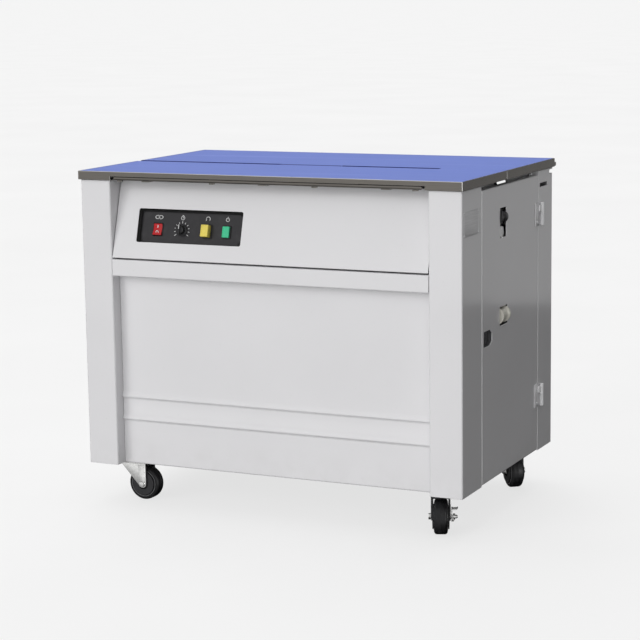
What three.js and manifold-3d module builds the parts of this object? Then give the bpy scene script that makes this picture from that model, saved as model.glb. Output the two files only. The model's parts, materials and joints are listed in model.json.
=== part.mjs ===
// Semi automatic strapping machine: a sheet-steel cabinet on four casters, with a two-leaf table top,
// a strap slot over the sealing head, a control panel in front and a reel door on the right.
// Millimetres. +X is the machine's right, +Y its rear, +Z up, and the floor is Z = 0.
import * as THREE from 'three';
import { mergeVertices } from 'three/addons/utils/BufferGeometryUtils.js';
import Module from 'manifold-3d';

// ---- Driving dimensions ------------------------------------------------------------------------

const sheet = 2; // thickness of all folded sheet steel
const gap = 0.3; // gap between fixed neighbours
const reveal = 1; // gap round the door and under the table

const halfLength = 445; // cabinet half size along X
const halfDepth = 285; // cabinet half size along Y
const cabinetBottom = 90;
const cabinetTop = 724;

const legWidth = 73; // front face of a front leg
const legInner = halfLength - legWidth;
const legReturn = 32; // depth of a front leg's inner face
const upperReturn = 48.5; // and beside the sloping control panel
const panelRecess = 30; // lower front panel behind the leg faces
const doorFront = -170; // free edge of the door
const doorRear = 188; // hinged edge of the door
const doorBottom = 92;
const doorTop = 715;
const doorFlange = 16; // depth of the door pan
const stopInset = 17; // door stop behind the cabinet's side face

const frameBottom = 698; // flat frame under the table
const frameTop = 703;

const tableTop = 744;
const rimHeight = 19;
const tableHalfLength = 448;
const tableFront = -291;
const tableRear = 293;
const slotCentre = -26; // Y of the strap slot
const slotHalfWidth = 7.5;
const headSlotHalfWidth = 3.5; // the slot is narrower over the sealing head
const slotEnd = 295; // the slot is open at the left and ends here
const headLeft = -85; // sealing head, along X
const headRight = 62;
const seam = 1; // between the two leaves beyond the slot

const frontRodY = -287.5; // hinge axis of the front leaf
const frontRodZ = 729.2;
const frontRodRadius = 4;
const frontRodHalfLength = 361;
const rearRodY = 298; // hinge axis of the rear leaf
const rearRodZ = 730.6;
const rearRodRadius = 3;
const rearKnuckleRadius = 4.5;

const fasciaFoot = 555; // Z where the control panel meets the leg face
const fasciaTilt = THREE.MathUtils.degToRad(15.76); // from vertical
const fasciaTop = 722.4;
const lipTop = 551.5; // cross rail under the control panel
const lipBottom = 514;
const cutoutLeft = -316; // window of the control panel
const cutoutRight = -62;
const cutoutLow = 37.4; // measured up the slope from the foot
const cutoutHigh = 111.7;
const plateDepth = 9; // switch plate behind the control panel

const hingeX = 450.4; // door hinge axis
const hingeY = 200;
const hingeRadius = 4.6;
const hingeLevels = [603, 193]; // bottoms of the door hinges
const hingeHeight = 51;

const wheelRadius = 37.5;
const wheelHalfWidth = 14.5;
const axleRadius = 4;
const casterTrail = 28;
const casterX = 370;
const casterY = 214;
const baseBottom = 102;
const baseThickness = 3;
const baseTop = baseBottom + baseThickness;

const camshaftZ = 610;
const shaftRadius = 8;
const camBase = 18; // smallest cam radius
const pressStroke = 28; // rise over half a turn
const pressSize = 24;
const guideBottom = 664;
const guideTop = 704;

const beltPlane = -214; // X of the belt's middle
const beltWidth = 12;
const motorZ = 200;
const motorPulleyRadius = 28;
const gearPulleyRadius = 55;

const reelY = 0;
const reelZ = 310;
const reelRadius = 190;
const drumRadius = 100;
const reelLeft = 208;
const reelRight = 404.6;
const reelShaftRadius = 14;

// The origin lies on the floor under the middle of the bounding box, which the door hinges and the
// rear hinge rod push to the right and to the rear of the cabinet's own middle.
const originX = (hingeX + hingeRadius - tableHalfLength) / 2;
const originY = (rearRodY + rearKnuckleRadius + frontRodY - frontRodRadius) / 2;

// ---- Materials ---------------------------------------------------------------------------------

const finish = (color, roughness, metalness) => (
  new THREE.MeshStandardMaterial({ color, roughness, metalness })
);
const greyPaint = () => finish(0xd6d6d8, 0.4, 0.1);
const bluePaint = () => finish(0x6f82cf, 0.5, 0.1);
const stainless = () => finish(0x8f8a84, 0.35, 0.9);
const zinc = () => finish(0xc8c8c8, 0.3, 0.9);
const steel = () => finish(0x80848a, 0.45, 0.8);
const blackPlastic = () => finish(0x1b1b1d, 0.5, 0);
const castAlloy = () => finish(0x9aa0a4, 0.55, 0.6);

// ---- Solids ------------------------------------------------------------------------------------

const wasm = await Module();
wasm.setup();

function signedVolume(position, index) {
  const corners = [new THREE.Vector3(), new THREE.Vector3(), new THREE.Vector3()];
  let volume = 0;
  for (let i = 0; i < index.count; i += 3) {
    corners.forEach((corner, k) => corner.fromBufferAttribute(position, index.getX(i + k)));
    volume += corners[0].dot(corners[1].cross(corners[2])) / 6;
  }
  return volume;
}

// A closed three.js geometry as a solid that can be joined and cut.
function solid(geometry) {
  geometry.deleteAttribute('normal');
  geometry.deleteAttribute('uv');
  const merged = mergeVertices(geometry, 1e-4);
  const triVerts = new Uint32Array(merged.index.array);
  if (signedVolume(merged.attributes.position, merged.index) < 0) triVerts.reverse();
  const vertProperties = new Float32Array(merged.attributes.position.array);
  return new wasm.Manifold(new wasm.Mesh({ numProp: 3, vertProperties, triVerts }));
}

function box([x0, x1], [y0, y1], [z0, z1]) {
  const geometry = new THREE.BoxGeometry(x1 - x0, y1 - y0, z1 - z0);
  geometry.translate((x0 + x1) / 2, (y0 + y1) / 2, (z0 + z1) / 2);
  return solid(geometry);
}

// Turns a shape drawn in the XY plane and extruded along Z towards another axis. An outline along X
// is given as [y, z] points, along Y as [x, z] points and along Z as [x, y] points.
const axisBases = {
  x: [new THREE.Vector3(0, 1, 0), new THREE.Vector3(0, 0, 1), new THREE.Vector3(1, 0, 0)],
  y: [new THREE.Vector3(1, 0, 0), new THREE.Vector3(0, 0, 1), new THREE.Vector3(0, -1, 0)],
  z: [new THREE.Vector3(1, 0, 0), new THREE.Vector3(0, 1, 0), new THREE.Vector3(0, 0, 1)],
};

function prism(axis, outline, from, to) {
  const shape = new THREE.Shape(outline.map(([u, v]) => new THREE.Vector2(u, v)));
  const geometry = new THREE.ExtrudeGeometry(shape, { depth: to - from, bevelEnabled: false });
  geometry.translate(0, 0, axis === 'y' ? -to : from);
  return solid(geometry.applyMatrix4(new THREE.Matrix4().makeBasis(...axisBases[axis])));
}

// A turned piece: profile points are [radius, distance along the axis], closed on themselves.
function turned(axis, profile, [u, v], segments = 24) {
  const points = [...profile, profile[0]].map(([r, t]) => new THREE.Vector2(r, t));
  const geometry = new THREE.LatheGeometry(points, segments);
  if (axis === 'x') geometry.rotateZ(-Math.PI / 2).translate(0, u, v);
  if (axis === 'y') geometry.translate(u, 0, v);
  if (axis === 'z') geometry.rotateX(Math.PI / 2).translate(u, v, 0);
  return solid(geometry);
}

function rod(axis, radius, from, to, centre, segments = 24) {
  const geometry = new THREE.CylinderGeometry(radius, radius, to - from, segments);
  geometry.translate(0, (from + to) / 2, 0);
  const [u, v] = centre;
  if (axis === 'x') geometry.rotateZ(-Math.PI / 2).translate(0, u, v);
  if (axis === 'y') geometry.translate(u, 0, v);
  if (axis === 'z') geometry.rotateX(Math.PI / 2).translate(u, v, 0);
  return solid(geometry);
}

const join = (first, ...others) => others.reduce((whole, other) => whole.add(other), first);
const cut = (first, ...others) => others.reduce((whole, other) => whole.subtract(other), first);

// Points on an arc, with its angles in degrees.
function arc([u, v], radius, from, to, steps) {
  const points = [];
  for (let i = 0; i <= steps; i += 1) {
    const angle = THREE.MathUtils.degToRad(from + ((to - from) * i) / steps);
    points.push([u + radius * Math.cos(angle), v + radius * Math.sin(angle)]);
  }
  return points;
}

// A rectangle's outline with round corners.
function rounded([u0, u1], [v0, v1], radius) {
  const steps = 4;
  return [
    ...arc([u1 - radius, v1 - radius], radius, 0, 90, steps),
    ...arc([u0 + radius, v1 - radius], radius, 90, 180, steps),
    ...arc([u0 + radius, v0 + radius], radius, 180, 270, steps),
    ...arc([u1 - radius, v0 + radius], radius, 270, 360, steps),
  ];
}

const mirrorX = (outline) => outline.map(([x, y]) => [-x, y]);

// The outline of folded sheet: a line along its outer face, with the thickness on the line's left.
function folded(line, thickness = sheet) {
  const points = line.map(([u, v]) => new THREE.Vector2(u, v));
  const left = (a, b) => new THREE.Vector2(a.y - b.y, b.x - a.x).normalize();
  const inner = points.map((point, i) => {
    const before = i > 0 ? left(points[i - 1], point) : left(point, points[i + 1]);
    const after = i < points.length - 1 ? left(point, points[i + 1]) : before;
    const mitre = before.clone().add(after).normalize();
    return point.clone().addScaledVector(mitre, thickness / mitre.dot(before));
  });
  return [...points, ...inner.reverse()].map((point) => [point.x, point.y]);
}

// ---- Assembly ----------------------------------------------------------------------------------

const machine = new THREE.Group();
machine.position.set(-originX, -originY, 0);

function addPart(name, piece, material, parent = machine) {
  const { vertProperties, triVerts } = piece.getMesh();
  const geometry = new THREE.BufferGeometry();
  geometry.setAttribute('position', new THREE.BufferAttribute(vertProperties, 3));
  geometry.setIndex(new THREE.BufferAttribute(triVerts, 1));
  geometry.computeVertexNormals();
  const mesh = new THREE.Mesh(geometry, material);
  mesh.name = name;
  parent.add(mesh);
}

// ---- Cabinet -----------------------------------------------------------------------------------

function buildPosts() {
  const stop = halfLength - stopInset;
  const frontEdge = doorFront - reveal;
  const rearEdge = doorRear + reveal;
  const stopLip = 11;
  const frontLine = [
    [legInner, -halfDepth + upperReturn],
    [legInner, -halfDepth],
    [halfLength, -halfDepth],
    [halfLength, frontEdge],
    [stop, frontEdge],
    [stop, frontEdge + stopLip],
  ];
  const rearLine = [
    [stop, rearEdge - stopLip],
    [stop, rearEdge],
    [halfLength, rearEdge],
    [halfLength, halfDepth],
    [legInner, halfDepth],
  ];
  const front = folded(frontLine);
  const rear = folded(rearLine);
  const [slotLow, slotHigh] = [687.5, 695.5];
  const rearSlot = box([halfLength - 10, halfLength + 10], [198, 249], [slotLow, slotHigh]);
  const notchRadius = 4.5;
  const notchZ = 716;
  const hingeNotch = (x0, x1) => join(
    box([x0, x1], [268, halfDepth + 5], [notchZ - notchRadius, notchZ + notchRadius]),
    rod('x', notchRadius, x0, x1, [268, notchZ], 16),
  );
  const trimmedReturn = (x0, x1) => (
    box([x0, x1], [-halfDepth + legReturn, -halfDepth + upperReturn + 1], [cabinetBottom - 1, lipBottom])
  );
  const [trimFrom, trimTo] = [legInner - 1, legInner + sheet + 1];
  const post = (outline) => prism('z', outline, cabinetBottom, cabinetTop);
  addPart('front_right_post', cut(post(front), trimmedReturn(trimFrom, trimTo)), greyPaint());
  addPart('front_left_post', cut(post(mirrorX(front)), trimmedReturn(-trimTo, -trimFrom)), greyPaint());
  addPart('rear_right_post', cut(post(rear), rearSlot, hingeNotch(425, 455)), greyPaint());
  addPart('rear_left_post', cut(post(mirrorX(rear)), hingeNotch(-455, -425)), greyPaint());
}

// A folded pan standing in the YZ plane, open towards the middle of the machine.
function sidePan(side, bottom, top) {
  const [outer, inner] = [halfLength * side, (halfLength - doorFlange) * side];
  const xs = [Math.min(outer, inner), Math.max(outer, inner)];
  const hollowXs = side > 0 ? [inner - 1, outer - sheet] : [outer + sheet, inner + 1];
  const whole = box(xs, [doorFront, doorRear], [bottom, top]);
  return cut(whole, box(hollowXs, [doorFront + sheet, doorRear - sheet], [bottom + sheet, top - sheet]));
}

function buildFixedCovers() {
  const slats = [];
  for (let row = 0; row < 8; row += 1) {
    const z = 440 + row * 16;
    slats.push(box([-halfLength - 1, -halfLength + sheet + 1], [-80, 100], [z, z + 5]));
  }
  addPart('left_side_cover', cut(sidePan(-1, doorBottom, doorTop + 8), ...slats), greyPaint());

  const half = legInner - 0.6;
  const inner = half - sheet;
  const coverTop = cabinetTop - 4;
  const coverFront = halfDepth - 14;
  const fingerHole = [323, 687];
  const glandCentre = [-300, 150];
  const rearCover = cut(
    box([-half, half], [coverFront, halfDepth], [cabinetBottom, coverTop]),
    box([-inner, inner], [coverFront - 1, halfDepth - sheet], [cabinetBottom + sheet, coverTop - sheet]),
    rod('y', 11, halfDepth - 5, halfDepth + 5, fingerHole),
    rod('y', 8.4, halfDepth - 5, halfDepth + 5, glandCentre),
  );
  addPart('rear_cover', rearCover, greyPaint());
  const gland = turned('y', [
    [4, 270], [8, 270], [8, 285.3], [13, 285.3], [13, 291], [9, 298], [4, 298],
  ], glandCentre);
  addPart('cable_gland', gland, blackPlastic());
}

function buildFront() {
  const face = -halfDepth + panelRecess;
  const ribHeight = 6;
  const rib = (z) => [[face, z - 3], [face - ribHeight, z], [face, z + 12]];
  const lower = folded([
    [face, 548],
    ...rib(241).reverse(),
    ...rib(191).reverse(),
    [face, cabinetBottom],
    [face + 13, cabinetBottom],
  ]);
  const half = legInner - gap;
  addPart('lower_front_panel', prism('x', lower, -half, half), greyPaint());

  const back = -halfDepth + 27;
  const rail = folded([[back, lipTop], [-halfDepth, lipTop], [-halfDepth, lipBottom], [back, lipBottom]]);
  addPart('front_cross_rail', prism('x', rail, -half, half), greyPaint());

  const slopeRun = (fasciaTop - fasciaFoot) * Math.tan(fasciaTilt);
  const fascia = prism('x', folded([
    [-halfDepth + slopeRun + 22, fasciaTop],
    [-halfDepth + slopeRun, fasciaTop],
    [-halfDepth, fasciaFoot],
    [-halfDepth + 17, fasciaFoot],
  ]), -legInner + 1.5, legInner - 1.5);
  const opening = rounded([cutoutLeft, cutoutRight], [cutoutLow, cutoutHigh], 4);
  const window = prism('z', opening, -sheet * 3, sheet * 2);
  const tilt = 90 - THREE.MathUtils.radToDeg(fasciaTilt);
  const placedWindow = window.rotate([tilt, 0, 0]).translate([0, -halfDepth, fasciaFoot]);
  addPart('control_fascia', cut(fascia, placedWindow), greyPaint());
}

function buildBase() {
  const pocket = legInner + sheet + gap;
  const side = halfLength - stopInset - sheet - 0.5;
  const [front, frontPocket] = [-halfDepth + panelRecess + sheet + gap, -halfDepth + sheet + gap];
  const [rear, rearPocket] = [halfDepth - 14 - gap, halfDepth - sheet - gap];
  const right = [
    [pocket, front], [pocket, frontPocket], [side, frontPocket],
    [side, rearPocket], [pocket, rearPocket], [pocket, rear],
  ];
  const outline = [...right, ...mirrorX(right).reverse()];
  addPart('base_plate', prism('z', outline, baseBottom, baseTop), greyPaint());
}

function buildTopFrame() {
  const [outerX, barWidth] = [424, 24];
  const [frontY, rearY] = [-236, 270];
  const [low, high] = [frameBottom, frameTop];
  const frame = cut(
    box([-outerX, outerX], [frontY, rearY], [low, high]),
    box([-outerX + barWidth, -118], [frontY + barWidth, rearY - barWidth], [low - 1, high + 1]),
    box([-94, 146], [frontY + barWidth, rearY - barWidth], [low - 1, high + 1]),
    box([170, outerX - barWidth], [frontY + barWidth, rearY - barWidth], [low - 1, high + 1]),
  );
  addPart('top_frame', frame, steel());
}

// ---- Table -------------------------------------------------------------------------------------

// The edge of a leaf along the slot, from the left end to the right end.
function slotEdge(side, inset) {
  const at = (half) => slotCentre + side * half;
  const end = tableHalfLength - inset;
  return [
    [-end, at(slotHalfWidth)], [headLeft, at(slotHalfWidth)],
    [headLeft, at(headSlotHalfWidth)], [headRight, at(headSlotHalfWidth)],
    [headRight, at(slotHalfWidth)], [slotEnd, at(slotHalfWidth)],
    [slotEnd, at(seam / 2)], [end, at(seam / 2)],
  ];
}

// A leaf: a plate with a rim round its outer edges and a folded lip along the open slot.
function leafPan(side, outerY) {
  const rimBottom = tableTop - rimHeight;
  const plateTop = tableTop - sheet;
  const inner = tableHalfLength - sheet;
  const innerY = outerY - side * sheet;
  const lipY = slotCentre + side * (slotHalfWidth + sheet);
  const pastY = slotCentre - side * 20;
  const whole = prism('z', [...slotEdge(side, 0), [tableHalfLength, outerY], [-tableHalfLength, outerY]],
    rimBottom, tableTop);
  const tray = prism('z', [[-inner, innerY], [inner, innerY], [inner, pastY], [-inner, pastY]],
    plateTop, tableTop + 1);
  const hollow = prism('z', [
    [-inner, innerY], [inner, innerY], [inner, pastY], [slotEnd, pastY],
    [slotEnd, lipY], [headRight + 18, lipY], [headRight + 18, pastY],
    [headLeft - 15, pastY], [headLeft - 15, lipY], [-inner, lipY],
  ], rimBottom - 1, plateTop - sheet);
  return cut(whole, tray, hollow);
}

function leafSkin(side, outerY) {
  const inset = sheet + gap;
  const edgeY = outerY - side * inset;
  const end = tableHalfLength - inset;
  const outline = [...slotEdge(side, inset), [end, edgeY], [-end, edgeY]];
  return prism('z', outline, tableTop - sheet + gap, tableTop - 0.2);
}

function buildTable() {
  const hookXs = [-345, -120, 120, 345];
  const hookHalf = 6;
  const hook = (x) => cut(
    join(
      rod('x', 7, x - hookHalf, x + hookHalf, [frontRodY, frontRodZ], 16),
      box([x - hookHalf, x + hookHalf], [-284.5, -280.9], [frontRodZ, tableTop - sheet - 1]),
    ),
    box([x - 10, x + 10], [tableFront - 10, tableFront + sheet + 0.4], [700, 738]),
  );
  const rodBore = rod('x', frontRodRadius + 0.15, -360, 360, [frontRodY, frontRodZ], 16);
  const reliefHalf = frontRodHalfLength + 6;
  const rimRelief = box([-reliefHalf, reliefHalf], [tableFront - 1, tableFront + sheet + 1],
    [700, frontRodZ + frontRodRadius + 0.4]);
  const frontLeaf = cut(join(cut(leafPan(-1, tableFront), rimRelief), ...hookXs.map(hook)), rodBore);
  addPart('front_table_leaf', frontLeaf, stainless());
  addPart('front_table_skin', leafSkin(-1, tableFront), bluePaint());

  const knuckleSpans = [[-448, -404], [-190, -110], [110, 190], [404, 448]];
  const knuckles = knuckleSpans.map((xs) => join(
    rod('x', rearKnuckleRadius, ...xs, [rearRodY, rearRodZ], 16),
    box(xs, [tableRear - 1, rearRodY - 2], [rearRodZ - 3, rearRodZ + 3]),
  ));
  const rearBore = rod('x', rearRodRadius + 0.15, -500, 500, [rearRodY, rearRodZ], 16);
  const rearLeaf = cut(join(leafPan(1, tableRear), ...knuckles), rearBore);
  addPart('rear_table_leaf', rearLeaf, stainless());
  addPart('rear_table_skin', leafSkin(1, tableRear), bluePaint());
}

function buildHingeRods() {
  const roundEnd = (x, side) => turned('x', [
    [0, x], [frontRodRadius, x], [frontRodRadius * 0.87, x + side * 2],
    [frontRodRadius * 0.5, x + side * 3.5], [0, x + side * frontRodRadius],
  ], [frontRodY, frontRodZ], 16);
  const straight = frontRodHalfLength - frontRodRadius;
  const frontTabs = [-280, 0, 280].map((x) => (
    box([x - 10, x + 10], [frontRodY - 1, -214], [cabinetTop - 1, cabinetTop + 2])
  ));
  const frontRod = join(
    rod('x', frontRodRadius, -straight, straight, [frontRodY, frontRodZ], 16),
    roundEnd(straight, 1),
    roundEnd(-straight, -1),
    ...frontTabs,
  );
  addPart('front_hinge_rod', frontRod, stainless());

  const arms = [-300, 0, 300].map((x) => join(
    box([x - 12, x + 12], [halfDepth + gap, halfDepth + 3.3], [690, 722]),
    prism('x', [
      [halfDepth + 1, 698], [rearRodY + 1, 728], [rearRodY - 2, 730], [halfDepth + 1, 711],
    ], x - 12, x + 12),
  ));
  const rearRod = rod('x', rearRodRadius, -447, 447, [rearRodY, rearRodZ], 16);
  addPart('rear_hinge_rod', join(rearRod, ...arms), zinc());
}

// ---- Reel door ---------------------------------------------------------------------------------

function buildDoor() {
  const faceXs = [halfLength - sheet - 1, halfLength + 1];
  const upperSlot = box(faceXs, [-60, -21], [604, 667]);
  const rollerWindow = box(faceXs, [-62, -12], [416, 456]);
  const fingerPull = prism('x', [
    [-160, 385], [-122, 385], [-110, 393], [-110, 410], [-122, 418], [-160, 418],
  ], ...faceXs);
  const pan = sidePan(1, doorBottom, doorTop);
  addPart('side_door', cut(pan, upperSlot, rollerWindow, fingerPull), greyPaint());

  const names = ['upper', 'lower'];
  hingeLevels.forEach((low, i) => {
    const middle = low + hingeHeight / 2;
    const high = low + hingeHeight;
    const pinRadius = 2.4;
    const fixedHalf = join(
      rod('z', hingeRadius, low, middle - gap / 2, [hingeX, hingeY]),
      box([halfLength + gap, hingeX], [hingeY - 2, hingeY + 16], [low, middle - gap / 2]),
      rod('z', pinRadius, middle - 1, high - 4, [hingeX, hingeY], 16),
    );
    addPart(`${names[i]}_hinge_pin`, fixedHalf, zinc());
    const movingHalf = cut(
      join(
        rod('z', hingeRadius, middle + gap / 2, high, [hingeX, hingeY]),
        box([halfLength + gap, halfLength + gap + 3], [doorRear - 24, doorRear - 1], [low, high]),
        box([halfLength + gap + 1, hingeX], [doorRear - 3, hingeY], [middle + 6, high - 6]),
      ),
      rod('z', pinRadius + 0.15, middle - 1, high - 2, [hingeX, hingeY], 16),
    );
    addPart(`${names[i]}_hinge_knuckle`, movingHalf, zinc());
  });
}

function buildDoorRollers() {
  const lowerAxle = [434.5, 436];
  const upperAxle = [437, 646];
  const plateYs = [-72, -68];
  const [lowerBore, upperBore] = [5, 4];
  const bracket = join(
    box([412, 442.7], plateYs, [410, 670]),
    box([440.5, 442.7], [-92, -70], [410, 670]),
    rod('y', lowerBore, -70, -12, lowerAxle),
    rod('y', upperBore, -70, -20, upperAxle),
  );
  addPart('door_roller_bracket', bracket, zinc());
  const groove = 14.5;
  const lower = turned('y', [
    [lowerBore + 0.4, -60], [18.5, -60], [18.5, -54], [groove, -50], [groove, -24], [18.5, -20],
    [18.5, -14], [lowerBore + 0.4, -14],
  ], lowerAxle, 28);
  addPart('guide_roller', lower, finish(0xd9d9cf, 0.5, 0));
  const upper = turned('y', [
    [upperBore + 0.4, -56], [13, -56], [13, -52], [10.5, -50], [10.5, -28], [13, -26], [13, -22],
    [upperBore + 0.4, -22],
  ], upperAxle, 24);
  addPart('upper_guide_roller', upper, blackPlastic());
}

function buildDataPlate() {
  const plate = box([halfLength + gap, halfLength + gap + 1], [-277, -189], [630, 681]);
  addPart('data_plate', plate, finish(0xa9a9aa, 0.4, 0.6));
}

// ---- Control panel -----------------------------------------------------------------------------

// Local frame of the sloping panel: X right, Y up the slope, Z out of the panel, zero at its foot.
function buildControls() {
  const panel = new THREE.Group();
  panel.position.set(0, -halfDepth, fasciaFoot);
  panel.rotation.x = Math.PI / 2 - fasciaTilt;
  machine.add(panel);
  const front = -plateDepth;
  const back = front - sheet;
  const row = 67.8; // height of the switches up the slope
  const switches = {
    power_rocker: { x: -269.5, width: 21, height: 25 },
    timer_knob: { x: -211, radius: 13, shaft: 3 },
    feed_button: { x: -149.4, width: 18, height: 26, reach: 14, travel: 4 },
    reset_button: { x: -102, width: 16.5, height: 24, reach: 6, travel: 3 },
  };
  const around = (x, size) => [x - size / 2, x + size / 2];
  const hole = ({ x, width, height }, play) => (
    box(around(x, width + play), around(row, height + play), [back - 1, front + 1])
  );
  const { power_rocker: rocker, timer_knob: knob, feed_button: feed, reset_button: reset } = switches;
  const plate = cut(
    box([cutoutLeft - 8, cutoutRight + 8], [cutoutLow - 8, cutoutHigh + 8], [back, front]),
    hole(rocker, 3.2),
    hole(feed, 1),
    hole(reset, 1),
    rod('z', knob.shaft + 0.5, back - 1, front + 1, [knob.x, row]),
  );
  addPart('switch_plate', plate, blackPlastic(), panel);

  const half = rocker.height / 2;
  const rockerOutline = [
    [row - half, -13], [row + half, -13], [row + half, -6.5], [row, -7.5], [row - half, -3.6],
  ];
  const rockerBody = prism('x', rockerOutline, ...around(rocker.x, rocker.width));
  addPart('power_rocker', rockerBody, finish(0xc8202c, 0.35, 0), panel);

  const knobProfile = [[0, 4], [11, 4], [12, 2], [knob.radius, -8.4], [0, -8.4]];
  const knobBody = turned('z', knobProfile, [knob.x, row], 28);
  const pointer = box(around(knob.x, 6), around(row, 22), [3, 7]);
  const shaft = rod('z', knob.shaft, -22, -8, [knob.x, row]);
  addPart('timer_knob', join(knobBody, pointer, shaft), blackPlastic(), panel);

  const button = ({ x, width, height, reach }) => join(
    box(around(x, width), around(row, height), [front + gap - 4, front + reach]),
    box(around(x, width - 4), around(row, height - 4), [front - 14, front - 3]),
  );
  addPart('feed_button', button(feed), finish(0xe6d24a, 0.4, 0), panel);
  addPart('reset_button', button(reset), finish(0x35c98b, 0.4, 0), panel);
}

// ---- Casters -----------------------------------------------------------------------------------

function casterFork(axleReach) {
  const [inner, outer] = [17.5, 21];
  const boss = 9;
  const crown = [80, 86];
  const roundedFoot = arc([casterTrail, wheelRadius], boss, 0, -145, 5);
  const cheeks = prism('y', [
    [-28, crown[1]], [casterTrail + boss, crown[1]], ...roundedFoot,
  ], -outer, outer);
  const wheelSpace = box([-60, 60], [-inner, inner], [0, crown[0]]);
  return join(
    cut(cheeks, wheelSpace),
    rod('z', 26, 86, 94, [0, 0], 20),
    rod('z', 13, 94, baseBottom - gap, [0, 0], 12),
    rod('y', axleRadius, -outer - 6, outer + axleReach, [casterTrail, wheelRadius], 12),
  );
}

function casterWheel() {
  const bore = axleRadius + 0.4;
  const [hub, tyre] = [wheelHalfWidth + 1.5, wheelHalfWidth];
  return turned('y', [
    [bore, -hub], [12, -hub], [29, -tyre], [34.5, -tyre], [wheelRadius, -tyre + 4],
    [wheelRadius, tyre - 4], [34.5, tyre], [29, tyre], [12, hub], [bore, hub],
  ], [casterTrail, wheelRadius], 20);
}

// A rocking pedal on the outer end of the axle, with a long tread above and a short one below.
function brakeLever() {
  const [near, thickness] = [21.5, 3];
  const xs = [casterTrail - 7, casterTrail + 7];
  const [low, high] = [wheelRadius - 10, wheelRadius + 19];
  return cut(
    join(
      box(xs, [near, near + thickness], [low, high]),
      box(xs, [near, 36], [high - thickness, high]),
      box(xs, [near, 28], [low, low + thickness]),
    ),
    rod('y', axleRadius + 0.4, near - 1, near + thickness + 1, [casterTrail, wheelRadius]),
  );
}

const casters = [
  { name: 'front_left', x: -casterX, y: -casterY, heading: 0, brake: true },
  { name: 'front_right', x: casterX, y: -casterY, heading: -70, brake: true },
  { name: 'rear_left', x: -casterX, y: casterY, heading: 150, brake: false },
  { name: 'rear_right', x: casterX, y: casterY, heading: -52.5, brake: false },
];

function buildCasters() {
  for (const { name, x, y, heading, brake } of casters) {
    const caster = new THREE.Group();
    caster.position.set(x, y, 0);
    caster.rotation.z = THREE.MathUtils.degToRad(heading);
    machine.add(caster);
    addPart(`${name}_caster_fork`, casterFork(brake ? 14 : 6), zinc(), caster);
    addPart(`${name}_wheel`, casterWheel(), blackPlastic(), caster);
    if (brake) addPart(`${name}_brake_lever`, brakeLever(), zinc(), caster);
  }
}

// ---- Sealing head ------------------------------------------------------------------------------

const pressXs = { front_press: -58, centre_press: -11, rear_press: 36 };
const feedX = 112;
const feedZ = 640;
const feedRadius = 22;
const pinchRadius = 16;
const pinchZ = feedZ + feedRadius + pinchRadius + 0.6;

function buildHeadFrame() {
  const [low, high] = [556, 735];
  const wall = 6;
  const [left, right] = [headLeft - 3, headRight + 3];
  const ys = [slotCentre - 40, slotCentre + 40];
  const armTop = frameBottom - gap;
  const rollerStub = (radius, z) => rod('y', radius, slotCentre - 12, slotCentre + 20, [feedX, z]);
  const frame = join(
    box([left, right], ys, [low, low + wall]),
    box([left, left + wall], ys, [low, high]),
    box([right - wall, right], ys, [low, high]),
    box([left + 1, right - 1], [slotCentre - 20, slotCentre + 20], [guideBottom, guideTop]),
    box([-118, left + 1], [-50, 0], [armTop - wall, armTop]),
    box([right - 1, 168], [slotCentre + 18, slotCentre + 22], [600, armTop]),
    box([146, 168], [-50, slotCentre + 20], [armTop - wall, armTop]),
    rollerStub(6, feedZ),
    rollerStub(5, pinchZ),
  );
  const play = 0.5;
  const half = pressSize / 2 + play;
  const guides = Object.values(pressXs).map((x) => (
    box([x - half, x + half], [slotCentre - half, slotCentre + half], [guideBottom - 1, guideTop + 1])
  ));
  const bore = rod('x', shaftRadius + 0.4, left - 1, right + 1, [slotCentre, camshaftZ], 28);
  addPart('head_frame', cut(frame, ...guides, bore), castAlloy());
}

// Radius rises evenly over half a turn, dwells, and falls back to the base circle.
function camRadius(turn) {
  const [riseEnd, dwellEnd, fallEnd] = [180, 205, 330];
  if (turn <= riseEnd) return camBase + (pressStroke * turn) / riseEnd;
  if (turn <= dwellEnd) return camBase + pressStroke;
  if (turn <= fallEnd) return camBase + (pressStroke * (fallEnd - turn)) / (fallEnd - dwellEnd);
  return camBase;
}

function buildCamshaft() {
  const step = 12;
  const outline = [];
  for (let turn = 0; turn < 360; turn += step) {
    const angle = THREE.MathUtils.degToRad(90 - turn);
    const radius = camRadius(turn);
    outline.push([slotCentre + radius * Math.cos(angle), camshaftZ + radius * Math.sin(angle)]);
  }
  const cams = Object.values(pressXs).map((x) => prism('x', outline, x - 5, x + 5));
  addPart('camshaft', join(rod('x', shaftRadius, -100, 74, [slotCentre, camshaftZ]), ...cams), steel());
}

function buildPresses() {
  const footBottom = camshaftZ + camBase + 1.6;
  const half = pressSize / 2;
  for (const [name, x] of Object.entries(pressXs)) {
    const press = join(
      box([x - half, x + half], [slotCentre - half, slotCentre + half], [guideBottom + 4, guideTop + 2]),
      box([x - 6, x + 6], [slotCentre - 3, slotCentre + 3], [footBottom, guideBottom + 5]),
    );
    addPart(name, press, steel());
  }
  addPart('slide_anvil', box([headLeft + 1, headRight - 1], [slotCentre - 14, slotCentre + 46], [736, 739]),
    steel());
}

function buildFeedRollers() {
  const roller = (radius, bore, z) => turned('y', [
    [bore, slotCentre - 10], [radius, slotCentre - 10], [radius, slotCentre + 10], [bore, slotCentre + 10],
  ], [feedX, z], 28);
  addPart('feed_roller', roller(feedRadius, 6.4, feedZ), steel());
  addPart('pinch_roller', roller(pinchRadius, 5.4, pinchZ), castAlloy());
}

// ---- Drive -------------------------------------------------------------------------------------

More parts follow.
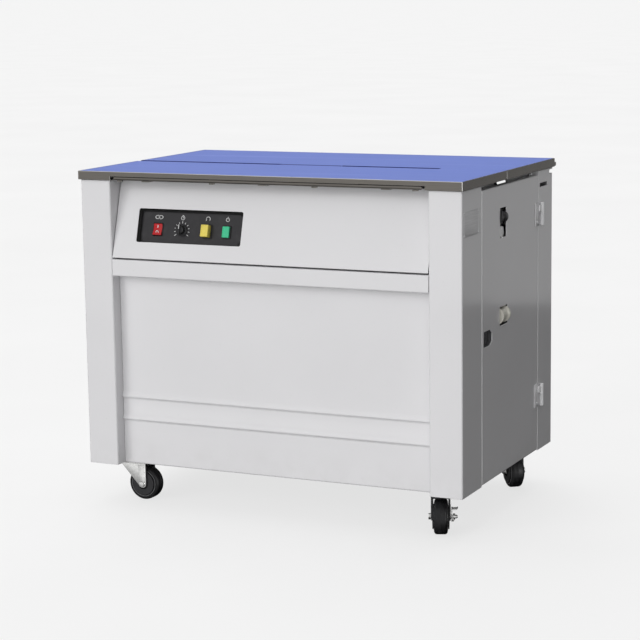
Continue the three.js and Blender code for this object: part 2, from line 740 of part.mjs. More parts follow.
function pulley(radius, bore, z, stubEnd) {
  const half = beltWidth / 2;
  const flange = radius + 5;
  return turned('x', [
    [bore, beltPlane - half - 3], [flange, beltPlane - half - 3], [flange, beltPlane - half - gap],
    [radius, beltPlane - half - gap], [radius, beltPlane + half + gap], [flange, beltPlane + half + gap],
    [flange, beltPlane + half + 3], [16, beltPlane + half + 3], [16, stubEnd], [bore, stubEnd],
  ], [slotCentre, z], 24);
}

// Outline of a belt run round two pulleys one above the other.
function beltLoop(extra) {
  const distance = camshaftZ - motorZ;
  const lean = THREE.MathUtils.radToDeg(Math.asin((gearPulleyRadius - motorPulleyRadius) / distance));
  return [
    ...arc([slotCentre, camshaftZ], gearPulleyRadius + extra, -lean, 180 + lean, 14),
    ...arc([slotCentre, motorZ], motorPulleyRadius + extra, 180 + lean, 360 - lean, 14),
  ];
}

function buildDrive() {
  const motorRadius = 60;
  const motor = join(
    turned('x', [
      [0, -196], [42, -196], [52, -190], [motorRadius, -184], [motorRadius, -10], [50, 4], [0, 4],
    ], [slotCentre, motorZ], 24),
    rod('x', 8, beltPlane - 7, -190, [slotCentre, motorZ]),
    box([-160, -30], [slotCentre - 50, slotCentre + 50], [baseTop + gap, motorZ - 45]),
    box([-130, -60], [slotCentre - 80, slotCentre - 40], [motorZ - 25, motorZ + 25]),
  );
  addPart('drive_motor', motor, castAlloy());
  addPart('motor_pulley', pulley(motorPulleyRadius, 8.4, motorZ, -201), steel());

  const gearbox = join(
    box([-196, -102], [slotCentre - 55, slotCentre + 60], [camshaftZ - 52, camshaftZ + 58]),
    rod('x', 34, -200, -190, [slotCentre, camshaftZ], 28),
    rod('x', 8, beltPlane - 7, -190, [slotCentre, camshaftZ]),
  );
  addPart('gearbox', gearbox, castAlloy());
  addPart('gearbox_pulley', pulley(gearPulleyRadius, 8.4, camshaftZ, -201.5), steel());

  const halfBelt = beltWidth / 2;
  const belt = cut(
    prism('x', beltLoop(4), beltPlane - halfBelt, beltPlane + halfBelt),
    prism('x', beltLoop(0.4), beltPlane - halfBelt - 1, beltPlane + halfBelt + 1),
  );
  addPart('drive_belt', belt, blackPlastic());
}

// ---- Strap supply and electrics ----------------------------------------------------------------

function buildStrapPool() {
  const pool = join(
    cut(
      box([-60, 190], [70, 92], [290, 640]),
      box([-60 + sheet, 190 - sheet], [70 + sheet, 92 - sheet], [290 + sheet, 641]),
    ),
    box([-50, -30], [70, 92], [baseTop + gap, 291]),
    box([160, 180], [70, 92], [baseTop + gap, 291]),
  );
  addPart('strap_pool', pool, zinc());
}

function buildReel() {
  const bracket = join(
    box([196, 202], [-60, 60], [baseTop + gap, 350]),
    box([150, 202], [-60, 60], [baseTop + gap, baseTop + gap + 5]),
    rod('x', reelShaftRadius, 200, 416, [reelY, reelZ], 32),
    rod('x', 26, 201, 206, [reelY, reelZ], 32),
  );
  addPart('reel_bracket', bracket, zinc());
  const bore = reelShaftRadius + 0.6;
  const core = turned('x', [
    [bore, reelLeft], [reelRadius, reelLeft], [reelRadius, reelLeft + 4], [drumRadius, reelLeft + 4],
    [drumRadius, reelRight - 4.6], [drumRadius - 4, reelRight - 4.6], [drumRadius - 4, reelLeft + 8],
    [24, reelLeft + 8], [24, reelLeft + 40], [bore, reelLeft + 40],
  ], [reelY, reelZ], 32);
  addPart('reel_core', core, steel());
  const flange = turned('x', [
    [bore, reelRight - 4], [reelRadius, reelRight - 4], [reelRadius, reelRight], [26, reelRight],
    [26, reelRight + 6], [bore, reelRight + 6],
  ], [reelY, reelZ], 32);
  const windows = [];
  for (let k = 0; k < 6; k += 1) {
    const angle = (k * Math.PI) / 3;
    const centre = [reelY + 142 * Math.cos(angle), reelZ + 142 * Math.sin(angle)];
    windows.push(rod('x', 28, reelRight - 5, reelRight + 1, centre, 12));
  }
  addPart('reel_outer_flange', cut(flange, ...windows), steel());
}

function buildElectrics() {
  const cabinetBox = box([-420, -250], [110, 265], [baseTop + gap, 330]);
  const hollow = box([-418, -252], [108, 263], [baseTop + gap + sheet, 328]);
  addPart('electrical_box', cut(cabinetBox, hollow), steel());
}

buildPosts();
buildFixedCovers();
buildFront();
buildBase();
buildTopFrame();
buildTable();
buildHingeRods();
buildDoor();
buildDoorRollers();
buildDataPlate();
buildControls();
buildCasters();
buildHeadFrame();
buildCamshaft();
buildPresses();
buildFeedRollers();
buildDrive();
buildStrapPool();
buildReel();
buildElectrics();

export default machine;
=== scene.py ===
"""The looks of a semi automatic strapping machine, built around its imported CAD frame."""
import json
import math

import bmesh
import bpy
from mathutils import Matrix, Vector


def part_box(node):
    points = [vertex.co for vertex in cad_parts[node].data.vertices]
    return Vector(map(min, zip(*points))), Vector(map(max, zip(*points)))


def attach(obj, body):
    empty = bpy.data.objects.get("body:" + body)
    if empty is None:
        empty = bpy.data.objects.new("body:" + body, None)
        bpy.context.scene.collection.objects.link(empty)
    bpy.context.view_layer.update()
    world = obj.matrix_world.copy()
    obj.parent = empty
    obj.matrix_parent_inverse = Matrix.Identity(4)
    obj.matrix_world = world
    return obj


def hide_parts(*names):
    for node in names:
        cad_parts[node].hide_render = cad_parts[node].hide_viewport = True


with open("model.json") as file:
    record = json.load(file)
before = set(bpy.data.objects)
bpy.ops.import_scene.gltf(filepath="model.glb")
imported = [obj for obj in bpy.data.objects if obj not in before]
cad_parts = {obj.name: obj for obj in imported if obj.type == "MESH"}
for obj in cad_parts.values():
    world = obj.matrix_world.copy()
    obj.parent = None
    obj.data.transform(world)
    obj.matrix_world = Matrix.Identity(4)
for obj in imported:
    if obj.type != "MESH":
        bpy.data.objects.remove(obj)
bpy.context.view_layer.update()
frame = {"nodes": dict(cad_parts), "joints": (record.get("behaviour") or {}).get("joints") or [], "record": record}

# ---- Sizes, in millimetres unless said otherwise ------------------------------------------------

MM = 0.001
JOINTS = {joint["name"]: joint for joint in frame["joints"]}
SLOTS = {part["node"]: part["material_slot"] for part in frame["record"]["subparts"]}

# The middle of the cabinet's walls, which every place below is measured from.
CABINET = Vector((
    (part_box("front_left_post")[0].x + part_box("front_right_post")[1].x) / 2,
    (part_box("front_left_post")[0].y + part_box("rear_cover")[1].y) / 2,
    0,
))
HALF_LENGTH = (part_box("front_right_post")[1].x - CABINET.x) / MM
HALF_DEPTH = (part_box("rear_cover")[1].y - CABINET.y) / MM
TO_CABINET = Matrix.Translation(CABINET) @ Matrix.Scale(MM, 4)

FASCIA_FOOT = 555
FASCIA_TILT = math.radians(15.76)
PLATE_DEPTH = 9
SWITCH_ROW = 67.8
WINDOW = (-316, -62, 37.4, 111.7)  # left, right, low and high
ICON_ROW = 95


def cabinet_box(node):
    """A CAD node's lowest and highest corners, measured from the cabinet's middle."""
    low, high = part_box(node)
    return (low - CABINET) / MM, (high - CABINET) / MM


def joint_place(name):
    """A joint's point, measured from the cabinet's middle."""
    return (Vector(JOINTS[name]["pos_m"]) - CABINET) / MM


# ---- Materials -----------------------------------------------------------------------------------

def add_node(tree, kind, *inputs, **settings):
    """A node's first output, with its inputs linked or set in order; None leaves one as it is."""
    node = tree.nodes.new(kind)
    for key, value in settings.items():
        setattr(node, key, value)
    for socket, value in zip(node.inputs, inputs):
        if isinstance(value, bpy.types.NodeSocket):
            tree.links.new(value, socket)
        elif value is not None:
            socket.default_value = value
    return node.outputs[0]


class Nodes:
    """A material's node tree, built in metres in the machine's own space."""

    def __init__(self, name, **values):
        self.material = bpy.data.materials.new(name)
        self.material.use_nodes = True
        self.tree = self.material.node_tree
        self.shader = self.tree.nodes["Principled BSDF"]
        self.space = self.add("ShaderNodeTexCoord").node.outputs["Object"]
        for key, value in values.items():
            self.set(key.replace("_", " ").title().replace("Ior", "IOR"), value)

    def set(self, name, value):
        socket = self.shader.inputs[name]
        if isinstance(value, bpy.types.NodeSocket):
            self.tree.links.new(value, socket)
        elif socket.type == "RGBA":
            socket.default_value = (*value, 1)
        else:
            socket.default_value = value

    def add(self, kind, *inputs, **settings):
        return add_node(self.tree, kind, *inputs, **settings)

    def noise(self, scale, detail=3, stretch=(1, 1, 1)):
        """Noise with that many cells to the metre, stretched along the axes."""
        space = self.add("ShaderNodeMapping", self.space, None, None, [1 / s for s in stretch])
        return self.add("ShaderNodeTexNoise", space, None, scale, detail)

    def range(self, value, low, high, to_low=0.0, to_high=1.0):
        return self.add("ShaderNodeMapRange", value, low, high, to_low, to_high)

    def math(self, operation, first, second=0.0):
        return self.add("ShaderNodeMath", first, second, operation=operation)

    def blend(self, factor, first, second):
        colours = [colour if isinstance(colour, bpy.types.NodeSocket) else (*colour, 1)
                   for colour in (first, second)]
        return self.add("ShaderNodeMixRGB", factor, *colours)

    def mottle(self, pattern, colour, dark, light):
        """A colour that wavers between a darker and a lighter shade as the pattern does."""
        return self.blend(self.range(pattern, 0.3, 0.7), shade(colour, dark), shade(colour, light))

    def base(self, mask, share, body, colour):
        """The base colour: the body's, with that share of another one wherever the mask is."""
        self.set("Base Color", self.blend(self.math("MULTIPLY", mask, share), body, colour))

    def bump(self, height, distance):
        """Raises the surface by the height times the distance in metres."""
        node = self.add("ShaderNodeBump").node
        node.inputs["Distance"].default_value = distance
        self.tree.links.new(height, node.inputs["Height"])
        self.set("Normal", node.outputs["Normal"])


def shade(colour, factor):
    return tuple(min(1, c * factor) for c in colour)


def powder_paint(name, colour, gloss):
    """Stoved paint on sheet steel: slight waviness, orange peel, faint clouding and a dusty foot."""
    nodes = Nodes(name, roughness=gloss, specular_ior_level=0.5)
    specks = nodes.range(nodes.noise(260, 2), 0.66, 0.8)
    height = nodes.add("ShaderNodeSeparateXYZ", nodes.space).node.outputs["Z"]
    foot = nodes.math("MULTIPLY", nodes.range(height, 0.16, 0.09), nodes.range(nodes.noise(24, 4), 0.4, 0.7))
    paint = nodes.mottle(nodes.noise(5, 4), colour, 0.985, 1.015)
    paint = nodes.blend(nodes.math("MULTIPLY", specks, 0.25), paint, shade(colour, 0.8))
    nodes.base(foot, 0.12, paint, (0.42, 0.40, 0.37))
    nodes.set("Roughness", nodes.range(nodes.noise(14, 5), 0.3, 0.75, gloss * 0.8, gloss * 1.5))
    peel = nodes.noise(420, 2)
    waves = nodes.math("MULTIPLY", nodes.noise(9, 1), 25.0)
    nodes.bump(nodes.math("ADD", peel, waves), 0.000003)
    return nodes.material


def table_paint(name, colour):
    """The blue working face: satin, finely pebbled, with faint rub marks along the way parcels slide."""
    nodes = Nodes(name, specular_ior_level=0.15)
    rubs = nodes.range(nodes.noise(16, 6, (9, 1, 1)), 0.58, 0.76)
    nodes.base(rubs, 0.14, nodes.mottle(nodes.noise(4, 5), colour, 0.97, 1.03), shade(colour, 1.3))
    nodes.set("Roughness", nodes.range(rubs, 0, 1, 0.55, 0.48))
    nodes.bump(nodes.noise(900, 2), 0.00005)
    return nodes.material


def brushed_metal(name, colour, roughness, stretch=(60, 1, 1), depth=0.00003, metallic=1.0):
    """Metal with fine drawn lines along one axis and a little staining."""
    nodes = Nodes(name, metallic=metallic)
    lines = nodes.noise(700, 3, stretch)
    stains = nodes.range(nodes.noise(18, 5), 0.35, 0.75)
    nodes.base(stains, 0.25, nodes.mottle(lines, colour, 0.86, 1.1), shade(colour, 0.75))
    nodes.set("Roughness", nodes.range(lines, 0.3, 0.7, roughness * 0.8, roughness * 1.25))
    nodes.bump(lines, depth)
    return nodes.material


def zinc_plate(name, colour, roughness):
    """Zinc plating: bright, faintly mottled, with small dull patches."""
    nodes = Nodes(name, metallic=1.0)
    dull = nodes.range(nodes.noise(45, 5), 0.5, 0.8)
    nodes.base(dull, 0.2, nodes.mottle(nodes.noise(150, 4), colour, 0.9, 1.06), shade(colour, 0.8))
    nodes.set("Roughness", nodes.range(dull, 0, 1, roughness, roughness * 1.4))
    nodes.bump(nodes.noise(500, 3), 0.00002)
    return nodes.material


def cast_metal(name, colour, roughness):
    """Cast and painted alloy: grainy, with darker pits."""
    nodes = Nodes(name, metallic=0.75, roughness=roughness)
    grain = nodes.noise(700, 4)
    pits = nodes.range(nodes.noise(240, 4), 0.62, 0.75)
    nodes.base(pits, 0.4, nodes.mottle(grain, colour, 0.85, 1.1), shade(colour, 0.5))
    nodes.bump(grain, 0.00025)
    return nodes.material


def moulded_plastic(name, colour, roughness, grain, wear):
    """Moulded plastic: spark-eroded grain, a little dust and handling shine."""
    nodes = Nodes(name, specular_ior_level=0.5)
    dust = nodes.range(nodes.noise(60, 5), 0.5, 0.8)
    dusty = tuple(c * 0.75 + 0.12 for c in colour)
    nodes.base(dust, wear, nodes.mottle(nodes.noise(25, 3), colour, 0.92, 1.06), dusty)
    nodes.set("Roughness", nodes.range(nodes.noise(130, 3), 0.3, 0.7, roughness * 0.85, roughness * 1.2))
    nodes.bump(nodes.noise(1500, 2), grain)
    return nodes.material


def rubber(name, colour):
    """Tyre rubber: matt, with a floor-scuffed running face and mould marks."""
    nodes = Nodes(name, specular_ior_level=0.35)
    scuffs = nodes.range(nodes.noise(90, 6), 0.45, 0.75)
    nodes.base(scuffs, 0.6, colour, shade(colour, 2.4))
    nodes.set("Roughness", nodes.range(scuffs, 0, 1, 0.42, 0.7))
    nodes.bump(nodes.noise(800, 4), 0.0001)
    return nodes.material


# Each material's kind, its colour and its other settings. The first fourteen are the record's material slots.
FINISHES = {
    "grey_paint": (powder_paint, (0.78, 0.775, 0.79), 0.06),
    "blue_paint": (table_paint, (0.165, 0.225, 0.58)),
    # The steel's colour is darkened well below bare stainless: painted shade, standing for the dark surroundings
    # that it mirrors.
    "stainless": (brushed_metal, (0.20, 0.187, 0.17), 0.33),
    "zinc_plate": (zinc_plate, (0.78, 0.78, 0.77), 0.24),
    "machined_steel": (brushed_metal, (0.45, 0.46, 0.48), 0.35, (4, 1, 1)),
    "cast_alloy": (cast_metal, (0.36, 0.39, 0.42), 0.5),
    "black_plastic": (moulded_plastic, (0.014, 0.014, 0.016), 0.45, 0.00006, 0.08),
    "caster_tread": (rubber, (0.008, 0.008, 0.009)),
    "belt_rubber": (rubber, (0.02, 0.02, 0.02)),
    "nylon": (moulded_plastic, (0.74, 0.72, 0.64), 0.4, 0.00006, 0.25),
    "red_plastic": (moulded_plastic, (0.50, 0.006, 0.01), 0.22, 0.00002, 0.03),
    "yellow_plastic": (moulded_plastic, (0.80, 0.66, 0.12), 0.25, 0.00002, 0.05),
    "green_plastic": (moulded_plastic, (0.05, 0.58, 0.30), 0.25, 0.00002, 0.05),
    "plate_aluminium": (brushed_metal, (0.80, 0.80, 0.81), 0.4, (1, 40, 1), 0.00002, 0.15),
    "switch_plate_face": (moulded_plastic, (0.022, 0.021, 0.024), 0.4, 0.00003, 0.1),
    "printed_white": (moulded_plastic, (0.75, 0.75, 0.75), 0.5, 0.00001, 0.1),
    # Near black, for the painted shadow round the switch window.
    "black_foam": (moulded_plastic, (0.004, 0.004, 0.004), 0.95, 0.0001, 0.0),
    # Lighter grey for the painted highlight on the wheel hubs' lip rings.
    "worn_edge": (moulded_plastic, (0.16, 0.16, 0.165), 0.3, 0.00002, 0.1),
    "dark_grey_plastic": (moulded_plastic, (0.085, 0.085, 0.09), 0.5, 0.00003, 0.1),
    "bright_plating": (powder_paint, (0.86, 0.86, 0.87), 0.3),
    # Deep blue for the painted shade inside the strap slot.
    "slot_blue": (powder_paint, (0.010, 0.022, 0.17), 0.5),
    # A much lighter copy of the stainless colour: a painted highlight on the bevels of stainless parts.
    "bright_edge": (brushed_metal, (0.85, 0.84, 0.82), 0.25),
}
MATERIALS = {name: kind(name, *settings) for name, (kind, *settings) in FINISHES.items()}


def add_object(name, data):
    """A new object in the scene."""
    thing = bpy.data.objects.new(name, data)
    bpy.context.scene.collection.objects.link(thing)
    return thing


# ---- Mesh building -------------------------------------------------------------------------------

# Turns a shape drawn in the XY plane so that its Z points right ("x"), to the front ("y") or up. Its X
# and Y then lie along Y and Z, along X and Z, or stay.
AXES = {
    "x": Matrix(((0, 0, 1, 0), (1, 0, 0, 0), (0, 1, 0, 0), (0, 0, 0, 1))),
    "y": Matrix(((1, 0, 0, 0), (0, 0, -1, 0), (0, 1, 0, 0), (0, 0, 0, 1))),
    "z": Matrix.Identity(4),
}
SHARP = math.radians(32)


def along(axis, place=(0, 0, 0), sign=1):
    """Turns Z to an axis at a place; with a sign of -1 it looks the other way."""
    return Matrix.Translation(place) @ AXES[axis] @ Matrix.Scale(sign, 4, (0, 0, 1))


def spins(count):
    """That many equal turns about Z."""
    return [Matrix.Rotation(2 * math.pi * i / count, 4, "Z") for i in range(count)]


def around(middle, half):
    """The span that reaches half that far to each side of its middle."""
    return middle - half, middle + half


def beside(side, near, far):
    """The span between two distances from zero, on the side with that sign."""
    return sorted((side * near, side * far))


def arc(centre, radius, start, end, steps=6):
    """Points on an arc, with its angles in degrees."""
    turns = [math.radians(start + (end - start) * i / steps) for i in range(steps + 1)]
    return [(centre[0] + radius * math.cos(t), centre[1] + radius * math.sin(t)) for t in turns]


def rounded(xs, ys, radius, steps=5):
    """A rectangle's outline with round corners."""
    (x0, x1), (y0, y1) = xs, ys
    corners = [(x1, y1, 0), (x0, y1, 90), (x0, y0, 180), (x1, y0, 270)]
    points = []
    for x, y, start in corners:
        centre = (x - radius if x == x1 else x + radius, y - radius if y == y1 else y + radius)
        points += arc(centre, radius, start, start + 90, steps)
    return points


def hexagon(radius):
    return arc((0, 0), radius, 0, 300, 5)


def mirrored(half):
    """A profile to be turned, from its half above zero and the same below."""
    return half + [(radius, -distance) for radius, distance in half[::-1]]


class Shape:
    """A mesh under construction, in millimetres in its own frame."""

    def __init__(self):
        self.whole = bmesh.new()

    def take(self, part, edge, material, matrix, segments=2):
        """Adds a closed part, with its faces turned outward and its sharp edges rounded."""
        bmesh.ops.recalc_face_normals(part, faces=part.faces)
        if edge > 0:
            sharp = [e for e in part.edges if len(e.link_faces) == 2 and e.calc_face_angle(0) > SHARP]
            bmesh.ops.bevel(part, geom=sharp, offset=edge, segments=segments, profile=0.5, affect="EDGES",
                            clamp_overlap=True)
        for face in part.faces:
            face.material_index = material
        if matrix is not None:
            part.transform(matrix)
        mesh = bpy.data.meshes.new("part")
        part.to_mesh(mesh)
        part.free()
        self.whole.from_mesh(mesh)
        bpy.data.meshes.remove(mesh)
        return self

    def block(self, xs, ys, zs, edge=0.5, material=0, matrix=None, segments=2):
        """A box with rounded edges."""
        part = bmesh.new()
        bmesh.ops.create_cube(part, size=1)
        spans = (xs, ys, zs)
        size = Matrix.Diagonal([high - low for low, high in spans] + [1])
        part.transform(Matrix.Translation([(low + high) / 2 for low, high in spans]) @ size)
        return self.take(part, edge, material, matrix, segments)

    def ring(self, outer, inner, zs, edge=0.3, matrix=None):
        """The space between two outlines with as many points, extruded along Z."""
        part = bmesh.new()
        loops = [[part.verts.new((x, y, z)) for x, y in outline] for outline, z in
                 ((outer, zs[0]), (outer, zs[1]), (inner, zs[1]), (inner, zs[0]))]
        for loop, following in zip(loops, loops[1:] + loops[:1]):
            for i in range(len(loop)):
                j = (i + 1) % len(loop)
                part.faces.new((loop[i], loop[j], following[j], following[i]))
        return self.take(part, edge, 0, matrix)

    def plate(self, outline, zs, edge=0.3, material=0, matrix=None):
        """An outline in the XY plane extruded along Z, with rounded edges."""
        part = bmesh.new()
        face = part.faces.new([part.verts.new((x, y, zs[0])) for x, y in outline])
        if face.normal.dot(Vector((0, 0, 1))) > 0:
            face.normal_flip()
        raised = bmesh.ops.extrude_face_region(part, geom=[face])
        for item in raised["geom"]:
            if isinstance(item, bmesh.types.BMVert):
                item.co.z = zs[1]
        return self.take(part, edge, material, matrix)

    def turn(self, profile, matrix=None, material=0, steps=48):
        """A closed profile of (radius, distance) points turned round Z."""
        part = bmesh.new()
        rings = []
        for radius, distance in profile:
            count = 1 if radius < 1e-6 else steps
            angles = [2 * math.pi * i / steps for i in range(count)]
            rings.append([part.verts.new((radius * math.cos(a), radius * math.sin(a), distance))
                          for a in angles])
        for ring, following in zip(rings, rings[1:] + rings[:1]):
            if len(ring) == len(following) == 1:
                continue
            for i in range(steps):
                j = (i + 1) % steps
                corners = [ring[i % len(ring)], ring[j % len(ring)]]
                corners += [following[j % len(following)], following[i % len(following)]]
                part.faces.new(list(dict.fromkeys(corners)))
        return self.take(part, 0, material, matrix)

    def rod(self, radius, zs, matrix=None, material=0, steps=32):
        """A round bar along Z."""
        low, high = zs
        return self.turn([(0, low), (radius, low), (radius, high), (0, high)], matrix, material, steps)

    def tube(self, points, radius, steps=12):
        """A round wire along a smooth line of points, with closed ends."""
        part = bmesh.new()
        points = [Vector(p) for p in points]
        turns = [2 * math.pi * k / steps for k in range(steps)]
        rings = []
        side = (points[1] - points[0]).orthogonal()
        for i, point in enumerate(points):
            way = (points[min(i + 1, len(points) - 1)] - points[max(i - 1, 0)]).normalized()
            side = (side - way * side.dot(way)).normalized()
            other = way.cross(side)
            rings.append([part.verts.new(point + (side * math.cos(t) + other * math.sin(t)) * radius)
                          for t in turns])
        for ring, following in zip(rings, rings[1:]):
            for k in range(steps):
                j = (k + 1) % steps
                part.faces.new((ring[k], ring[j], following[j], following[k]))
        part.faces.new(rings[0][::-1])
        part.faces.new(rings[-1])
        return self.take(part, 0, 0, None)

    def screw(self, place, axis, radius=3.0, height=2.0, material=0, sign=1):
        """A button-head screw with a socket, standing on a face; sign says which way it looks."""
        socket = radius * 0.45
        profile = [(socket, 0.4), (socket, height * 0.92), (radius * 0.6, height)]
        profile += [(radius * 0.88, height * 0.7), (radius, height * 0.25), (radius, 0), (0, 0), (0, 0.4)]
        return self.turn(profile, along(axis, place, sign), material, 20)

    def bolt(self, place, axis, across=10, height=4.5, washer=0.0, material=0, sign=1):
        """A hexagon head on a washer; across is the size of the spanner."""
        matrix = along(axis, place, sign)
        base = 1.2 if washer else 0
        if washer:
            profile = [(0, 0), (washer, 0), (washer, 0.9), (washer - 0.3, base), (0, base)]
            self.turn(profile, matrix, material, 28)
        return self.plate(hexagon(across / math.sqrt(3)), (base, base + height), 0.5, material, matrix)

    def finish(self, name, body, materials, place=TO_CABINET, slot=None, replaces=()):
        """The finished object, riding on a body. The place turns its own frame into the row frame."""
        self.whole.transform(place)
        bmesh.ops.recalc_face_normals(self.whole, faces=self.whole.faces)
        mesh = bpy.data.meshes.new(name)
        self.whole.to_mesh(mesh)
        self.whole.free()
        for material in materials:
            mesh.materials.append(MATERIALS[material])
        mesh.shade_smooth()
        mesh.set_sharp_from_angle(angle=SHARP)
        piece = add_object(name, mesh)
        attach(piece, body)
        if replaces:
            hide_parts(*replaces)
        return piece


# ---- CAD nodes that keep their shape -------------------------------------------------------------

def geometry_group(name):
    """An empty geometry node group, the geometry that comes in and the socket that it leaves by."""
    group = bpy.data.node_groups.new(name, "GeometryNodeTree")
    for way in ("INPUT", "OUTPUT"):
        group.interface.new_socket("Geometry", in_out=way, socket_type="NodeSocketGeometry")
    return group, add_node(group, "NodeGroupInput"), group.nodes.new("NodeGroupOutput").inputs[0]


def weld_and_smooth():
    """Geometry nodes that weld a faceted solid and shade its round faces smooth."""
    group, start, end = geometry_group("weld_and_smooth")
    weld = add_node(group, "GeometryNodeMergeByDistance", start)
    weld.node.inputs["Distance"].default_value = 0.00001
    faces = add_node(group, "GeometryNodeSetShadeSmooth", weld)
    angle = add_node(group, "GeometryNodeInputMeshEdgeAngle")
    smooth = add_node(group, "FunctionNodeCompare", angle, SHARP, operation="LESS_THAN")
    edges = add_node(group, "GeometryNodeSetShadeSmooth", faces, None, smooth, domain="EDGE")
    group.links.new(edges, end)
    return group


def fold_weights(name, broad_face, least, lowest=0):
    """Geometry nodes that mark the sharp edges to be rounded: in full at folds between broad faces above
    the lowest height, and least elsewhere."""
    group, start, end = geometry_group(name)

    def maths(operation, *inputs):
        return add_node(group, "ShaderNodeMath", *inputs, operation=operation)

    inverse = maths("DIVIDE", 1.0, add_node(group, "GeometryNodeInputMeshFaceArea"))
    mean = add_node(group, "GeometryNodeFieldOnDomain", inverse, domain="FACE")
    place = add_node(group, "ShaderNodeSeparateXYZ", add_node(group, "GeometryNodeInputPosition")).node
    high = maths("GREATER_THAN", place.outputs["Z"], lowest * MM)
    fold = maths("MULTIPLY", maths("LESS_THAN", mean, 1 / (broad_face * MM * MM)), high)
    weight = add_node(group, "ShaderNodeMapRange", fold, None, None, least)
    sharp = maths("GREATER_THAN", add_node(group, "GeometryNodeInputMeshEdgeAngle"), SHARP)
    store = add_node(group, "GeometryNodeStoreNamedAttribute", start, None, "bevel_weight_edge",
                     maths("MULTIPLY", sharp, weight), data_type="FLOAT", domain="EDGE")
    group.links.new(store, end)
    return group


def dress(node, smoothing, edge, folds=None):
    """A CAD node with its material, its flat faces merged and its edges rounded."""
    piece = frame["nodes"][node]
    piece.data.materials.clear()
    piece.data.materials.append(MATERIALS[SLOTS[node]])
    piece.modifiers.new("weld", "NODES").node_group = smoothing
    merge = piece.modifiers.new("flat_faces", "DECIMATE")
    merge.decimate_type = "DISSOLVE"
    merge.angle_limit = math.radians(0.5)
    if folds:
        piece.modifiers.new("folds", "NODES").node_group = folds
    bevel = piece.modifiers.new("edges", "BEVEL")
    bevel.width = edge * MM
    bevel.segments = 3 if folds else 2
    bevel.limit_method = "WEIGHT" if folds else "ANGLE"
    bevel.angle_limit = SHARP
    bevel.harden_normals = True
    bevel.use_clamp_overlap = True
    # Stainless parts get a lighter copy of their steel on the bevel faces: a painted highlight along their rounded
    # edges.
    if SLOTS[node] == "stainless":
        piece.data.materials.append(MATERIALS["bright_edge"])
        bevel.material = 1
    piece.modifiers.new("normals", "WEIGHTED_NORMAL").keep_sharp = True


# The radius of the folds, and the group that finds them: 0.85 mm is left at a sheet's cut edges and 0.35 mm
# at those of the table's rim.
SHEET_FOLDS = (3.0, fold_weights("sheet_folds", 6500, 0.28))
RIM_FOLDS = (1.55, fold_weights("rim_folds", 3200, 0.22, 730))
FOLDED = {"front_table_leaf": RIM_FOLDS, "rear_table_leaf": RIM_FOLDS}
FOLDED |= dict.fromkeys((
    "front_left_post", "front_right_post", "rear_left_post", "rear_right_post", "left_side_cover",
    "lower_front_panel", "front_cross_rail", "control_fascia", "side_door",
), SHEET_FOLDS)
EDGES = {"head_frame": 0.8, "gearbox": 2.5, "drive_motor": 1.5, "reel_bracket": 0.6}
smoothing = weld_and_smooth()
for node in frame["nodes"]:
    dress(node, smoothing, *FOLDED.get(node, (EDGES.get(node, 0.4),)))

# ---- Casters -------------------------------------------------------------------------------------

CASTERS = ("front_left", "front_right", "rear_left", "rear_right")
CHEEK_INNER = 17.7
CHEEK_OUTER = 20.3
RIB_FACE = CHEEK_OUTER + 0.9
BOSS = 9
FORK_FRONT = -27
CROWN_TOP = 86
TYRE_HALF = 14.3


def caster_place(name):
    """A caster's own frame on the floor under its swivel, with its wheel trailing along +X."""
    swivel, wheel = joint_place(f"{name}_swivel"), joint_place(f"{name}_wheel_spin")
    offset = wheel - swivel
    turn = Matrix.Rotation(math.atan2(offset.y, offset.x), 4, "Z")
    floor = Matrix.Translation((swivel.x, swivel.y, 0))
    return TO_CABINET @ floor @ turn, offset.xy.length, wheel.z


def build_fork(name, place, trail, axle):
    """Two cheeks with a pressed rib, upright behind and slanted in front, under a crown and a swivel cup."""
    shape = Shape()
    cheek = [(FORK_FRONT, 84), (trail + BOSS, 84)] + arc((trail, axle), BOSS, 0, -142, 12)
    rib = [(trail - 10, 80), (trail + 6, 80)] + arc((trail, axle), 6.2, 0, -180, 10)
    for side in (-1, 1):
        shape.plate(cheek, beside(side, CHEEK_INNER, CHEEK_OUTER), 0.5, matrix=along("y"))
        shape.plate(rib, beside(side, CHEEK_OUTER - 0.4, RIB_FACE), 0.7, matrix=along("y"))
    shape.block((FORK_FRONT, trail + BOSS), around(0, CHEEK_OUTER), (81.5, CROWN_TOP), 1.6, segments=3)
    shape.turn([(0, CROWN_TOP - 1), (25.8, CROWN_TOP - 1), (25.8, 89), (25, 90.2), (22.6, 91), (22.6, 93.4),
                (0, 93.4)], steps=56)
    shape.rod(12.6, (93, 101.4))
    shape.bolt((0, 0, 82), "z", 17, 5, sign=-1)
    shape.rod(4, around(0, CHEEK_INNER), along("y", (trail, 0, axle)), steps=24)
    shape.finish(f"{name}_fork_pressing", f"{name}_fork", ["zinc_plate"], place,
                 replaces=[f"{name}_caster_fork"])
    braked = f"{name}_brake_tilt" in JOINTS
    fasteners = Shape()
    fasteners.bolt((trail, -RIB_FACE, axle), "y", 12, 3.8, washer=7)
    if braked:
        stud = [(0, 19), (3.9, 19), (3.9, 33), (2.4, 34.8), (0, 34.8)]
        fasteners.turn(stud, along("y", (trail, 0, axle), -1), steps=20)
        fasteners.bolt((trail, 25, axle), "y", 12, 4.5, sign=-1)
    else:
        fasteners.bolt((trail, RIB_FACE, axle), "y", 12, 3.8, washer=7, sign=-1)
    fasteners.finish(f"{name}_axle_bolt", f"{name}_fork", ["zinc_plate"], place)


